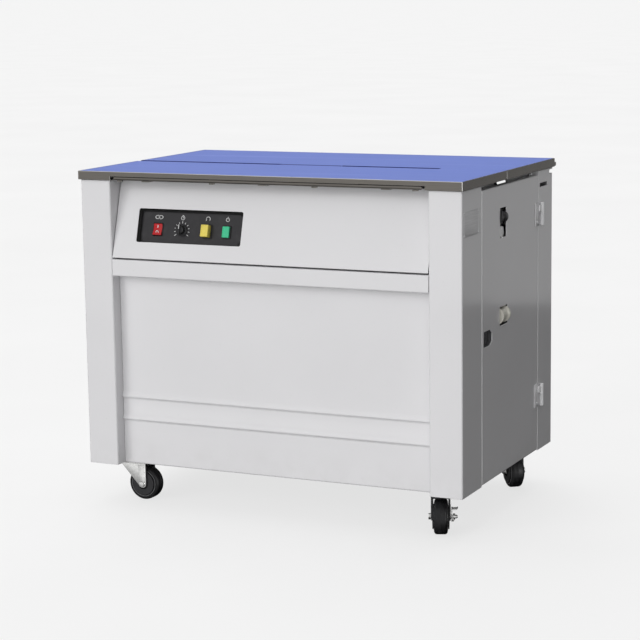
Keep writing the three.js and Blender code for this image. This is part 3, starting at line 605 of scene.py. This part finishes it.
def build_wheel(name, place, trail, axle):
    """A moulded hub with ribs on its web, and a rubber tyre with rounded shoulders."""
    middle = along("y", (trail, 0, axle))
    tyre_out = arc((31.4, TYRE_HALF - 6), 5.9, 80, 0, 6)
    bead = [(29.4, TYRE_HALF - 1.6), (30.4, TYRE_HALF - 0.2), (31.4, TYRE_HALF - 0.9)]
    tyre = Shape().turn(mirrored(bead + tyre_out + [(37.3, 0.9), (37.5, 0.4)]), middle, steps=72)
    tyre.finish(f"{name}_tyre", f"{name}_wheel", ["caster_tread"], place, replaces=[f"{name}_wheel"])
    half = [(4.4, 17.1), (10, 17.1), (11, 16.3), (11.6, 11.7), (12.8, 10.7), (26.2, 10.7), (27.2, 11.5),
            (27.6, 13.4), (28.4, 13.9), (29.2, 13.4), (29.3, 12.7)]
    hub = Shape().turn(mirrored(half), middle, steps=64)
    for side in (-1, 1):
        for spin in spins(8):
            hub.block((11, 27.4), around(0, 0.9), beside(side, 10.5, 12.3), 0.4, matrix=middle @ spin)
        # The lip ring takes the second, lighter grey: a painted highlight along the edge of the hub's rim.
        lip = [(r, side * d) for r, d in ((28.2, 13.6), (28.7, 14.6), (29.5, 14.6), (29.9, 13.6))]
        hub.turn(lip, middle, 1, 64)
    hub.finish(f"{name}_hub", f"{name}_wheel", ["black_plastic", "worn_edge"], place, slot="caster_tread")


def build_brake(name, place, trail, axle):
    """A pressed pedal on the axle's outer end, with a ribbed tread above and a short one below."""
    shape = Shape()
    near = 21.9
    cheek = arc((trail, axle + 14), 7, 0, 180, 8) + arc((trail, axle - 4), 7, 180, 360, 8)
    shape.plate(cheek, (-near - 2, -near), 0.4, matrix=along("y"))
    upper = [(near, axle + 15.5), (31, axle + 16), (34, axle + 17), (35.6, axle + 19), (34.6, axle + 20),
             (33, axle + 18.8), (30, axle + 18.2), (near, axle + 17.8)]
    lower = [(near, axle - 9.8), (26, axle - 9.6), (28, axle - 7.6), (27.2, axle - 6.6), (25.2, axle - 7.9),
             (near, axle - 7.7)]
    for outline, half in ((upper, 7.5), (lower, 6)):
        shape.plate(outline, around(trail, half), 0.5, matrix=along("x"))
    for step in range(4):
        y = 24 + step * 2.5
        shape.block(around(trail, 6.5), (y, y + 1.1), (axle + 17.8, axle + 18.8), 0.3)
    shape.finish(f"{name}_brake_pedal", f"{name}_brake", ["zinc_plate"], place,
                 replaces=[f"{name}_brake_lever"])


def build_guards_and_shade(name, place, trail, axle):
    """Black thread guards beside the wheel, and the clips that hold them on the fork's rear edges. Their black is
    partly the guards' own and partly painted shade, filling the fork where it lies in deep shadow.
    """
    guards = Shape()
    disc = [(12.6, 15.4), (26, 15.4), (26.8, 16), (26.8, 17), (26, 17.6), (12.6, 17.6)]
    edge, reach, top = (trail + BOSS + 0.1, trail + BOSS + 2), CHEEK_OUTER + 0.3, 84
    for side in (-1, 1):
        guards.turn([(radius, side * distance) for radius, distance in disc], along("y", (trail, 0, axle)))
        guards.block(edge, beside(side, 15.6, reach), (axle + 14, top), 0.6)
        guards.block(edge, beside(side, 17.8, reach), (axle - 2, axle + 16), 0.6)
    guards.block(edge, around(0, reach), (77.5, top), 0.6)
    guards.finish(f"{name}_thread_guards_and_shade", f"{name}_fork", ["black_plastic"], place)


def build_caster_plate(name):
    """The fixed top plate, its outer bearing ring and its four bolts, under the base plate."""
    shape = Shape()
    swivel = joint_place(f"{name}_swivel")
    place = TO_CABINET @ Matrix.Translation((swivel.x, swivel.y, 0))
    bottom, top = 98.4, 101.6
    shape.turn([(14.2, 97), (26, 97), (27.5, 98.2), (27.5, top), (14.2, top)])
    for side in (-1, 1):
        shape.block(around(0, 43), beside(side, 15, 33), (bottom, top), 0.8)
        shape.block(around(side * 27, 14), around(0, 20), (bottom, top), 0.8)
        for x in (-35, 35):
            shape.bolt((x, side * 25, bottom), "z", 10, 3.6, washer=6, sign=-1)
    shape.finish(f"{name}_caster_plate", "cabinet", ["zinc_plate"], place)


def build_casters():
    for name in CASTERS:
        place, trail, axle = caster_place(name)
        build_fork(name, place, trail, axle)
        build_wheel(name, place, trail, axle)
        build_guards_and_shade(name, place, trail, axle)
        build_caster_plate(name)
        if f"{name}_brake_tilt" in JOINTS:
            build_brake(name, place, trail, axle)


# ---- Control panel -------------------------------------------------------------------------------

# The sloping panel's own frame: X right, Y up the slope, Z out of it, and zero at its foot.
TO_PANEL = (TO_CABINET @ Matrix.Translation((0, -HALF_DEPTH, FASCIA_FOOT))
            @ Matrix.Rotation(math.pi / 2 - FASCIA_TILT, 4, "X"))
ROCKER_X, KNOB_X, FEED_X, RESET_X = -269.5, -211, -149.4, -102
PRINTED = (-PLATE_DEPTH, 0.2 - PLATE_DEPTH)  # print on the switch plate


def build_rocker():
    """A red rocker in a black frame, with a bar for on and a ring for off."""
    width, height = 21, 25
    half = height / 2
    place = (ROCKER_X, SWITCH_ROW, 0)
    face = [(-half, -3.6), (-8, -5.2), (-4, -6.6), (0, -7.4), (4, -7.3), (8, -6.9), (half, -6.5)]
    outline = [(half, -13), (-half, -13)] + face
    rocker = Shape().plate(outline, around(0, width / 2), 0.6, matrix=along("x", place))
    rocker.block((-0.9, 0.9), (3.6, 9.6), (-7.3, -6.6), 0.1, 1, along("z", place))
    ring = [(2.3, 0), (3.7, 0), (3.7, 0.6), (2.3, 0.6)]
    ring_place = along("z", place) @ along("z", (0, -6.4, -5.9)) @ Matrix.Rotation(math.radians(17), 4, "X")
    rocker.turn(ring, ring_place, 1, 28)
    rocker.finish("red_rocker", "power_rocker", ["red_plastic", "printed_white"], TO_PANEL,
                  replaces=["power_rocker"])
    build_bezel("rocker_frame", ROCKER_X, (width + 3.6, height + 3.6), (width + 0.6, height + 3.0), 1.6)


def build_bezel(name, x, outer, inner, height):
    """A black frame round a switch, standing on the switch plate."""
    outlines = [rounded(around(x, w / 2), around(SWITCH_ROW, h / 2), radius, 4)
                for (w, h), radius in ((outer, 2.0), (inner, 0.6))]
    bezel = Shape().ring(*outlines, (-PLATE_DEPTH, height - PLATE_DEPTH), 0.35)
    bezel.finish(name, "cabinet", ["black_plastic"], TO_PANEL)


def build_button(name, node, x, size, reach, material):
    """A square push button: rounded edges and a slightly raised border round its face."""
    width, height = size
    top = reach - PLATE_DEPTH

    def spans(inset):
        return around(x, width / 2 - inset), around(SWITCH_ROW, height / 2 - inset)

    button = Shape().plate(rounded(*spans(0), 1.5, 4), (-PLATE_DEPTH - 3.6, top - 0.5), 0.5)
    button.ring(rounded(*spans(0.5), 1.4, 4), rounded(*spans(2.2), 1.0, 4), (top - 0.9, top), 0.25)
    button.block(*spans(2), (-PLATE_DEPTH - 14, -PLATE_DEPTH - 3), 0.5)
    button.finish(name, node, [material], TO_PANEL, replaces=[node])
    build_bezel(f"{node}_frame", x, (width + 5, height + 5), (width + 0.9, height + 0.9), 2.2)


def build_knob():
    """A black fluted knob with a white pointer, and the white scale round it."""
    middle = along("z", (KNOB_X, SWITCH_ROW, 0))
    knob = Shape()
    knob.turn([(0, -8.3), (12.9, -8.3), (12.9, -7), (12.2, -6.2), (10.4, -5.4), (0, -5.4)], middle, steps=64)
    knob.turn([(0, -6), (9.2, -6), (9.0, 3.2), (8.2, 4), (0, 4)], middle, steps=48)
    for spin in spins(20):
        knob.block((8.8, 9.9), around(0, 0.75), (-5.6, 3), 0.3, matrix=middle @ spin)
    knob.block(around(0, 2.6), (-10.6, 10.8), (3, 6.8), 0.9, matrix=middle)
    knob.block(around(0, 0.75), (1, 10.6), (6.5, 6.95), 0.1, 1, middle)
    knob.rod(3, (-22, -8), middle, steps=20)
    knob.finish("fluted_knob", "timer_knob", ["black_plastic", "printed_white"], TO_PANEL,
                replaces=["timer_knob"])
    scale = Shape()
    for tick in range(11):
        spin = Matrix.Rotation(math.radians(-125 + 25 * tick), 4, "Z")
        end = 20.5 if tick % 5 == 0 else 19
        scale.block(around(0, 0.55), (15.2, end), PRINTED, 0, matrix=middle @ spin)
    scale.finish("knob_scale", "cabinet", ["printed_white"], TO_PANEL, "black_plastic")


def build_icons():
    """Small plain marks over the switches: power, timer, feed and reset."""
    icons = Shape()

    def ring(x, radius, start, end, width=1.0, stretch=1.0):
        outer = arc((0, 0), radius, start, end, 18)
        inner = arc((0, 0), radius - width, end, start, 18)
        place = Matrix.Translation((x, ICON_ROW, 0)) @ Matrix.Diagonal((stretch, 1, 1, 1))
        icons.plate(outer + inner, PRINTED, 0, matrix=place)

    def bar(x, y, width, height, turn=0):
        place = Matrix.Translation((x, ICON_ROW + y, 0)) @ Matrix.Rotation(math.radians(turn), 4, "Z")
        icons.block(around(0, width / 2), around(0, height / 2), PRINTED, 0, matrix=place)

    ring(ROCKER_X - 3.5, 4.2, 60, 300, 1.0, 1.5)
    ring(ROCKER_X + 3.5, 4.2, -120, 120, 1.0, 1.5)
    bar(ROCKER_X, 0, 1.2, 4.6)
    bar(ROCKER_X, 0, 4.6, 1.2)
    ring(KNOB_X, 4.6, 100, 440, 1.0)
    bar(KNOB_X, 1.4, 1.0, 3.4)
    bar(KNOB_X + 1.2, 0, 2.8, 1.0)
    bar(KNOB_X, 5.4, 3.6, 1.2)
    ring(FEED_X, 5.2, -40, 220, 1.1)
    bar(FEED_X - 4.4, -2.8, 3.6, 1.1, 50)
    ring(RESET_X, 4.4, 120, 420, 1.1)
    bar(RESET_X, 3.6, 1.1, 5.4)
    icons.finish("switch_marks", "cabinet", ["printed_white"], TO_PANEL, "black_plastic")


def build_controls():
    build_rocker()
    build_knob()
    build_button("yellow_feed_button", "feed_button", FEED_X, (18, 26), 14, "yellow_plastic")
    build_button("green_reset_button", "reset_button", RESET_X, (16.5, 24), 6, "green_plastic")
    build_icons()
    left, right, low, high = WINDOW
    # A matt near-black frame round the switch window, wider along its left and top edges: painted shadow cast by
    # the fascia's cut edges onto the recessed switch plate.
    shadow_frame = Shape().ring(rounded((left - 6, right + 6), (low - 6, high + 6), 5),
                        rounded((left + 5, right - 0.5), (low + 0.5, high - 5), 3),
                        (-PLATE_DEPTH, 5 - PLATE_DEPTH), 0.4)
    shadow_frame.finish("window_shadow_frame", "cabinet", ["black_foam"], TO_PANEL, "black_plastic")
    screws = Shape()
    for x in (left + 8, right - 8):
        for y in (low + 6.1, high - 6.2):
            screws.screw((x, y, -PLATE_DEPTH), "z", 2.6, 1.4)
    screws.finish("switch_plate_screws", "cabinet", ["black_plastic"], TO_PANEL)
    frame["nodes"]["switch_plate"].data.materials[0] = MATERIALS["switch_plate_face"]


# ---- Door ----------------------------------------------------------------------------------------

def build_rollers():
    """The grooved nylon roller in the door's window and the black one in its upper slot."""
    lower = joint_place("guide_roller_spin")
    half = [(5.4, 23), (7.5, 23), (8, 21.4), (14, 21.4), (14.6, 23), (17.6, 23), (18.5, 22), (18.5, 17.6),
            (17.8, 16.6), (15, 14.2), (14.5, 13.2)]
    Shape().turn(mirrored(half), along("y", lower), steps=64).finish(
        "grooved_roller", "guide_roller", ["nylon"], replaces=["guide_roller"])
    upper = joint_place("upper_roller_spin")
    half = [(4.4, 17), (12, 17), (13, 16.2), (13, 13.4), (12.2, 12.6), (10.6, 11.2), (10.5, 10.4)]
    Shape().turn(mirrored(half), along("y", upper)).finish(
        "black_strap_roller", "upper_guide_roller", ["black_plastic"], replaces=["upper_guide_roller"])
    ends = Shape()
    for place, reach, radius in ((lower, -12, 7), (upper, -20, 5.6)):
        ends.rod(radius, (0, 1), along("y", (place.x, reach, place.z), -1))
        ends.bolt((place.x, -72, place.z), "y", 10, 4, washer=6)
    ends.finish("roller_retainers", "door", ["zinc_plate"])


def build_strap_lever():
    """A black sprung lever and a bright clip that press the strap down in the upper slot."""
    path = [(447.5, -55, 661), (447, -56, 652), (446, -56.5, 644), (445, -56.5, 636), (443, -56, 629)]
    lever = Shape().tube(path, 1.9)
    lever.block((430, 446), (-59, -53), (655, 663), 1.2)
    lever.finish("strap_lever", "door", ["black_plastic"])
    clip = Shape()
    outline = [(-56, 629), (-42, 626), (-38, 612), (-44, 605.5), (-58, 607)]
    clip.plate(outline, (441, 445.5), 0.8, matrix=along("x"))
    rivet = [(0, 0), (2.6, 0), (2.4, 1.6), (1.4, 2.4), (0, 2.6)]
    for y, z in ((-55.5, 608.5), (-46, 604.5)):
        clip.turn(rivet, along("x", (443.5, y, z)), steps=20)
    clip.finish("strap_clip", "door", ["bright_plating"], slot="zinc_plate")


def build_hinges():
    """Bright two-part barrels with leaves painted over with the sheets that they are fixed to."""
    height, radius, bore = 51, 4.6, 2.5
    hinge = joint_place("door_hinge")
    axis = along("z", (hinge.x, hinge.y, 0))
    leaf = (HALF_LENGTH + 0.3, HALF_LENGTH + 2.6)

    def barrel(low, high):
        return [(bore, low), (radius - 0.5, low), (radius, low + 0.5), (radius, high - 0.5),
                (radius - 0.5, high), (bore, high)]

    def finish(shape, half, body, node):
        shape.finish(half, body, ["bright_plating", "grey_paint"], slot="zinc_plate", replaces=[node])

    for name in ("upper", "lower"):
        low = cabinet_box(f"{name}_hinge_pin")[0].z
        middle, high = low + height / 2, low + height
        fixed = Shape().turn(barrel(low, middle - 0.2), axis, steps=36)
        fixed.rod(bore - 0.1, (low + 0.2, high - 3), axis, steps=20)
        fixed.block(leaf, (hinge.y - 2, hinge.y + 16), (low, middle - 0.2), 0.5, 1)
        finish(fixed, f"{name}_hinge_fixed_half", "cabinet", f"{name}_hinge_pin")
        moving = Shape().turn(barrel(middle + 0.2, high), axis, steps=36)
        moving.block(leaf, (164, 187), (low, high), 0.6, 1)
        moving.block((HALF_LENGTH + 0.8, hinge.x), (184, hinge.y), (middle + 6, high - 6), 0.5)
        for z in (low + 9, high - 9):
            moving.screw((leaf[1], 171, z), "x", 3.2, 1.4, 1)
        finish(moving, f"{name}_hinge_moving_half", "door", f"{name}_hinge_knuckle")


def build_data_plate():
    """A blank rating plate with a raised border, rivets and empty fields."""
    low, high = cabinet_box("data_plate")
    face = high.x - 0.3

    def outline(inset, radius):
        return rounded((low.y + inset, high.y - inset), (low.z + inset, high.z - inset), radius)

    plate = Shape().plate(outline(0, 3), (low.x, face), 0.2, matrix=along("x"))
    plate.ring(outline(4, 2), outline(5, 1.5), (face - 0.1, face + 0.2), 0.05, matrix=along("x"))
    for row in range(5):
        z = low.z + 10 + row * 7
        plate.block((face - 0.1, face + 0.15), (low.y + 9, high.y - 9), (z, z + 0.7), 0)
    rivet = [(0, 0), (1.9, 0), (1.6, 0.9), (0, 1.3)]
    for y in (low.y + 3, high.y - 3):
        for z in (low.z + 3, high.z - 3):
            plate.turn(rivet, along("x", (face, y, z)), steps=16)
    plate.finish("rating_plate", "cabinet", ["plate_aluminium"], replaces=["data_plate"])


def build_finger_cup():
    """The shallow pressed cup behind the door's finger pull."""
    def outline(grow):
        return [(-160 - grow, 385 - grow), (-122, 385 - grow), (-110 + grow, 393), (-110 + grow, 410),
                (-122, 418 + grow), (-160 - grow, 418 + grow)]

    cup = Shape().plate(outline(3), (431, 433), 0.5, matrix=along("x"))
    cup.ring(outline(3), outline(0.8), (432, 442.8), 0.4, matrix=along("x"))
    cup.finish("finger_cup", "door", ["dark_grey_plastic"], slot="black_plastic")


def build_door():
    build_finger_cup()
    build_rollers()
    build_strap_lever()
    build_hinges()
    build_data_plate()


# ---- Table ---------------------------------------------------------------------------------------

def build_slot_shade_lining():
    """A lining of the strap slot's rear wall, folded over the edge of the leaf, in a far deeper blue than the
    table: painted shade in the slot.
    """
    lining = Shape()
    for xs, y, low in (((-446, -86), -18.5, 727), ((-84, 61), -22.5, 740), ((63, 294), -18.5, 727)):
        lining.block(xs, (y - 0.25, y + 0.1), (low, 743.9), 0)
        lining.block(xs, (y - 0.2, y + 4), (743.7, 743.95), 0.1)
    lining.finish("slot_shade_lining", "rear_leaf", ["slot_blue"], slot="blue_paint")


# ---- Cabinet fasteners and trim ------------------------------------------------------------------

def build_cover_screws():
    """Button heads along the edges of the rear and left side covers."""
    screws = Shape()
    for x in (-360, -120, 120, 360):
        for z in (102, 708):
            screws.screw((x, HALF_DEPTH, z), "y", 4, 2.2, sign=-1)
    for y in (-160, 178):
        for z in (110, 400, 700):
            screws.screw((-HALF_LENGTH, y, z), "x", 4, 2.2, sign=-1)
    screws.finish("cover_screws", "cabinet", ["zinc_plate"])


def build_gland():
    """A cable gland on the rear cover: lock nut, ribbed cap and an open throat."""
    low, high = cabinet_box("cable_gland")
    middle = (low + high) / 2
    place = Matrix.Translation((middle.x, HALF_DEPTH, middle.z)) @ Matrix.Rotation(-math.pi / 2, 4, "X")
    gland = Shape()
    gland.turn([(4, -14.8), (7.9, -14.8), (7.9, 1), (4, 1)], place, steps=32)
    gland.ring(hexagon(13), hexagon(4), (0.4, 5.6), 0.5, matrix=place)
    cap = [(4.2, 5), (11, 5), (11.4, 6), (10.6, 10), (8.6, 12.4), (6, 12.9), (4.2, 12)]
    gland.turn(cap, place)
    for spin in spins(18):
        gland.block((10.4, 11.8), around(0, 0.7), (5.6, 9.4), 0.3, matrix=place @ spin)
    gland.finish("ribbed_gland", "cabinet", ["black_plastic"], replaces=["cable_gland"])


# ---- Inside the cabinet --------------------------------------------------------------------------

SHAFTS_Y = -26
MOTOR_Z, CAMSHAFT_Z, REEL_Z = 200, 610, 310


def build_motor_trim():
    """Cooling ribs, the grille over the fan, and the lid of the terminal box."""
    middle = along("x", (0, SHAFTS_Y, MOTOR_Z))
    trim = Shape()
    for spin in spins(32):
        if spin.col[0].y > -0.7:  # none underneath, where the motor stands
            trim.block((58, 64), around(0, 1.1), (-150, -40), 0.5, 0, middle @ spin)
    for radius in (12, 21, 30, 39, 46):
        trim.turn([(radius, 3.8), (radius + 3, 3.8), (radius + 2.6, 6), (radius + 0.4, 6)], middle)
    for spin in spins(8)[:4]:
        trim.block(around(0, 47), around(0, 1.5), (3.9, 5.6), 0.3, 0, middle @ spin)
    trim.rod(48, (3.8, 4.3), middle, 1, 48)
    lid_x, lid_face = -95, -109
    trim.block(around(lid_x, 38), (lid_face, lid_face + 3.5), around(MOTOR_Z, 28), 1.2, 0)
    for x in around(lid_x, 33):
        for z in around(MOTOR_Z, 23):
            trim.screw((x, lid_face, z), "y", 2.8, 2, 2)
    trim.finish("motor_trim", "cabinet", ["cast_alloy", "black_plastic", "zinc_plate"])


def build_gearbox_trim():
    """The bolted inspection cover, oil sight glass and breather of the gearbox."""
    middle_x, middle_z, face = -149, 613, -85
    trim = Shape().block(around(middle_x, 38), (face, face + 4.5), around(middle_z, 44), 2, 0)
    for x in around(middle_x, 31):
        for z in (middle_z - 37, middle_z, middle_z + 37):
            trim.bolt((x, face, z), "y", 8, 3.6, 5.5, 1)
    glass = along("y", (middle_x, face, 585))
    trim.turn([(6, 0), (9, 0), (9, 3), (8, 4), (6, 4)], glass, 1, 28)
    trim.turn([(0, 0), (6, 0), (6, 2), (0, 2.6)], glass, 2, 28)
    trim.bolt((-130, SHAFTS_Y, 668), "z", 14, 8, 9, 1)
    trim.finish("gearbox_trim", "cabinet", ["cast_alloy", "zinc_plate", "yellow_plastic"])


def build_reel_nut():
    """The lobed nut that keeps the reel on its shaft."""
    turns = [2 * math.pi * step / 60 for step in range(60)]
    lobes = [30 + 3 * math.cos(6 * t) for t in turns]
    outer = [(radius * math.cos(t), radius * math.sin(t)) for radius, t in zip(lobes, turns)]
    inner = [(14.1 * math.cos(t), 14.1 * math.sin(t)) for t in turns]
    nut = Shape().ring(outer, inner, (411.2, 424), 1.6, matrix=along("x", (0, 0, REEL_Z)))
    nut.finish("reel_hand_nut", "cabinet", ["black_plastic"])


def build_head_trim():
    """Bolts through the sealing head's side walls, and the collars on its camshaft."""
    bolts = Shape()
    for x, sign in ((-88, -1), (65, 1)):
        for y in around(SHAFTS_Y, 31):
            for z in (580, 640, 672):
                bolts.bolt((x, y, z), "x", 10, 4.5, 6.5, sign=sign)
    bolts.finish("head_bolts", "cabinet", ["zinc_plate"])
    collar = Shape()
    half = [(8.05, 3), (13.5, 3), (14, 2.5)]
    for x in (-95, 69.5):
        collar.turn(mirrored(half), along("x", (x, SHAFTS_Y, CAMSHAFT_Z)))
    collar.finish("camshaft_collars", "camshaft", ["machined_steel"])


def build_switch_bodies():
    """Behind the switch plate: the rocker's body, the timer, the contact blocks and their terminals."""
    bodies = Shape()
    for x, width, height, low, high in (
        (ROCKER_X, 20, 24, -38, -17.5), (KNOB_X, 32, 36, -42, -23.5),
        (FEED_X, 22, 28, -45, -26), (RESET_X, 22, 28, -45, -26),
    ):
        bodies.block(around(x, width / 2), around(SWITCH_ROW, height / 2), (low, high), 1)
        for tag_x in around(x, 6):
            for tag_y in around(SWITCH_ROW, 8):
                bodies.block(around(tag_x, 2.4), around(tag_y, 0.5), (low - 7, low + 1), 0.1, 1)
    for x in (FEED_X, RESET_X):
        for y in around(SWITCH_ROW, 10.75):
            bodies.block(around(x, 10.5), around(y, 2.75), (-28, -11.2), 0.5)
    bodies.finish("switch_bodies", "cabinet", ["black_plastic", "zinc_plate"], TO_PANEL)


def build_electrics():
    """Contactors, a relay, terminals and a transformer in the electrical box."""
    gear = Shape()
    black, zinc, grey, white, red = range(5)
    rail_y, contactor_z, terminal_z, transformer = 254, 265, 185, (-360, 130)
    for z in (contactor_z, terminal_z):
        gear.block((-412, -258), (rail_y, rail_y + 8), around(z, 17.5), 0.4, zinc)
    for x in (-385, -335):
        gear.block(around(x, 22), (185, rail_y), around(contactor_z, 37), 2, black)
        gear.block(around(x, 15), (178, 186), around(contactor_z, 17), 1.5, grey)
        for screw_x in (x - 14, x, x + 14):
            for z in around(contactor_z, 31):
                gear.screw((screw_x, 185, z), "y", 3.4, 1.6, zinc)
    gear.block((-303, -268), (195, rail_y), around(contactor_z, 33), 1.5, grey)
    for step in range(17):
        x = -405 + step * 8
        gear.block((x, x + 7.2), (216, rail_y), around(terminal_z, 22), 0.5, white)
        gear.screw((x + 3.6, 216, terminal_z + 11), "y", 2.2, 1, zinc)
    x, z = transformer
    gear.block(around(x, 35), (185, 250), around(z, 22), 1.5, zinc)
    gear.block(around(x, 28), (178, 257), around(z, 14), 4, red)
    gear.finish("electrical_gear", "cabinet",
                ["black_plastic", "zinc_plate", "dark_grey_plastic", "nylon", "red_plastic"])


def build_latch():
    """A magnetic catch behind the lip that the door closes against, with its two screws."""
    catch = Shape().block((413, 425.7), (-170.6, -161), (395, 425), 1)
    for z in (400, 420):
        catch.screw((413, -166, z), "x", 2.4, 1.2, 1, -1)
    catch.finish("door_catch", "cabinet", ["black_plastic", "zinc_plate"])


def build_upstands():
    """Strips on edge along the right side of the top frame, behind the gap over the door."""
    strips = Shape()
    for ys in ((-166, -40), (44, 186)):
        strips.block((422, 424), ys, (703.2, 722), 0.4)
    strips.finish("top_frame_upstands", "cabinet", ["grey_paint"])


build_casters()
build_controls()
build_door()
build_slot_shade_lining()
build_cover_screws()
build_gland()
build_latch()
build_upstands()
build_motor_trim()
build_gearbox_trim()
build_reel_nut()
build_head_trim()
build_switch_bodies()
build_electrics()

# ---- Stage, lights and camera --------------------------------------------------------------------

FLOOR_HALF = 400.0  # metres
# The brightness of the surroundings: as they are seen, as they light the machine, and as it mirrors them.
BACKDROP = 0.915
FRONT_LIGHT = 1.60
FILL = [(-1, 0.05), (0, 0.10), (1, 0.45)]
FRONT_SHINE = 0.75
SIDE_SHINE = 5.0
FLOOR_EDGE = -0.158  # directions lower than this mirror nothing but the soft boxes
MIRRORED = [(-1, 0.45), (-0.05, 0.45), (0.02, 0.08), (0.28, 0.08), (0.45, 0.30), (1, 0.90)]
FLOOR_GLOW = 0.72


def build_floor():
    nodes = Nodes("pale_floor", roughness=1.0, specular_ior_level=0.0)
    clouds = nodes.range(nodes.noise(1.2, 3), 0.3, 0.7)
    nodes.set("Base Color", nodes.blend(clouds, (0.17, 0.17, 0.17), (0.19, 0.19, 0.19)))
    nodes.set("Emission Color", (1, 1, 1))
    nodes.set("Emission Strength", FLOOR_GLOW)
    mesh = bpy.data.meshes.new("floor")
    corners = [(x * FLOOR_HALF, y * FLOOR_HALF, 0) for x, y in ((-1, -1), (1, -1), (1, 1), (-1, 1))]
    mesh.from_pydata(corners, [], [(0, 1, 2, 3)])
    mesh.materials.append(nodes.material)
    floor = add_object("floor", mesh)
    floor.visible_diffuse = False
    floor.visible_glossy = False


def build_sun(name, source, power, softness):
    """A soft far light from the direction of its source, which glossy faces do not mirror."""
    light = bpy.data.lights.new(name, "SUN")
    light.energy = power * math.pi
    light.angle = math.radians(softness)
    lamp = add_object(name, light)
    lamp.visible_glossy = False
    lamp.rotation_mode = "QUATERNION"
    lamp.rotation_quaternion = Vector(source).to_track_quat("Z", "Y")


def build_world():
    """Pale surroundings: even behind the object, with a wide soft light in front where they light it."""
    world = bpy.data.worlds.new("studio")
    world.use_nodes = True
    tree = world.node_tree

    def maths(operation, *inputs):
        return add_node(tree, "ShaderNodeMath", *inputs, operation=operation)

    direction = add_node(tree, "ShaderNodeTexCoord")
    rays = add_node(tree, "ShaderNodeLightPath").node.outputs

    def facing(towards):
        product = add_node(tree, "ShaderNodeVectorMath", direction, Vector(towards).normalized(),
                           operation="DOT_PRODUCT")
        return product.node.outputs["Value"]

    def ramp(stops):
        """Brightness that follows the height of the direction, from straight down at -1 to up at 1."""
        node = add_node(tree, "ShaderNodeValToRGB", maths("MULTIPLY_ADD", facing((0, 0, 1)), 0.5, 0.5)).node
        elements = node.color_ramp.elements
        while len(elements) < len(stops):
            elements.new(0.5)
        for element, (place, level) in zip(elements, stops):
            element.position = (place + 1) / 2
            element.color = (level, level, level, 1)
        return node.outputs["Color"]

    def soft_box(towards, strength, sharpness):
        """A soft bright patch round one direction."""
        return maths("MULTIPLY", maths("POWER", maths("MAXIMUM", facing(towards), 0.0), sharpness), strength)

    def mix(factor, first, second):
        return maths("MULTIPLY_ADD", factor, maths("SUBTRACT", second, first), first)

    fill = maths("ADD", ramp(FILL), soft_box((0, -1, 0), FRONT_LIGHT, 4.0))
    above_floor = maths("GREATER_THAN", facing((0, 0, 1)), FLOOR_EDGE)
    shine = maths("MULTIPLY", ramp(MIRRORED), above_floor)
    shine = maths("ADD", shine, soft_box((-0.2, -1, 0), FRONT_SHINE, 2.0))
    shine = maths("ADD", shine, soft_box((0.93, -0.35, 0.1), SIDE_SHINE, 20.0))
    light = mix(rays["Is Camera Ray"], mix(rays["Is Glossy Ray"], fill, shine), BACKDROP)
    tree.links.new(light, tree.nodes["Background"].inputs["Color"])
    bpy.context.scene.world = world


def build_camera():
    """A long lens, looking down at the front and the right side. The angles are in radians."""
    place = Vector((1.84543, -3.96363, 1.12561))
    yaw, pitch, roll = -0.43818, 0.16603, -0.01418
    forward = Vector((math.sin(yaw) * math.cos(pitch), math.cos(yaw) * math.cos(pitch), -math.sin(pitch)))
    level = Vector((math.cos(yaw), -math.sin(yaw), 0))
    upright = level.cross(forward)
    right = level * math.cos(roll) + upright * math.sin(roll)
    up = upright * math.cos(roll) - level * math.sin(roll)
    lens = bpy.data.cameras.new("camera")
    lens.lens = 110.81
    lens.clip_end = 1500
    camera = add_object("camera", lens)
    camera.matrix_world = Matrix.Translation(place) @ Matrix((right, up, -forward)).transposed().to_4x4()
    bpy.context.scene.camera = camera


build_floor()
build_world()
build_sun("key_light", (-0.5, -0.8, 0.35), 0.20, 30)
build_sun("top_light", (-0.35, 0.45, 1), 0.55, 65)
build_sun("rear_light", (-0.6, 0.75, 0.2), 0.35, 45)
build_camera()
bpy.context.scene.view_settings.view_transform = "Standard"
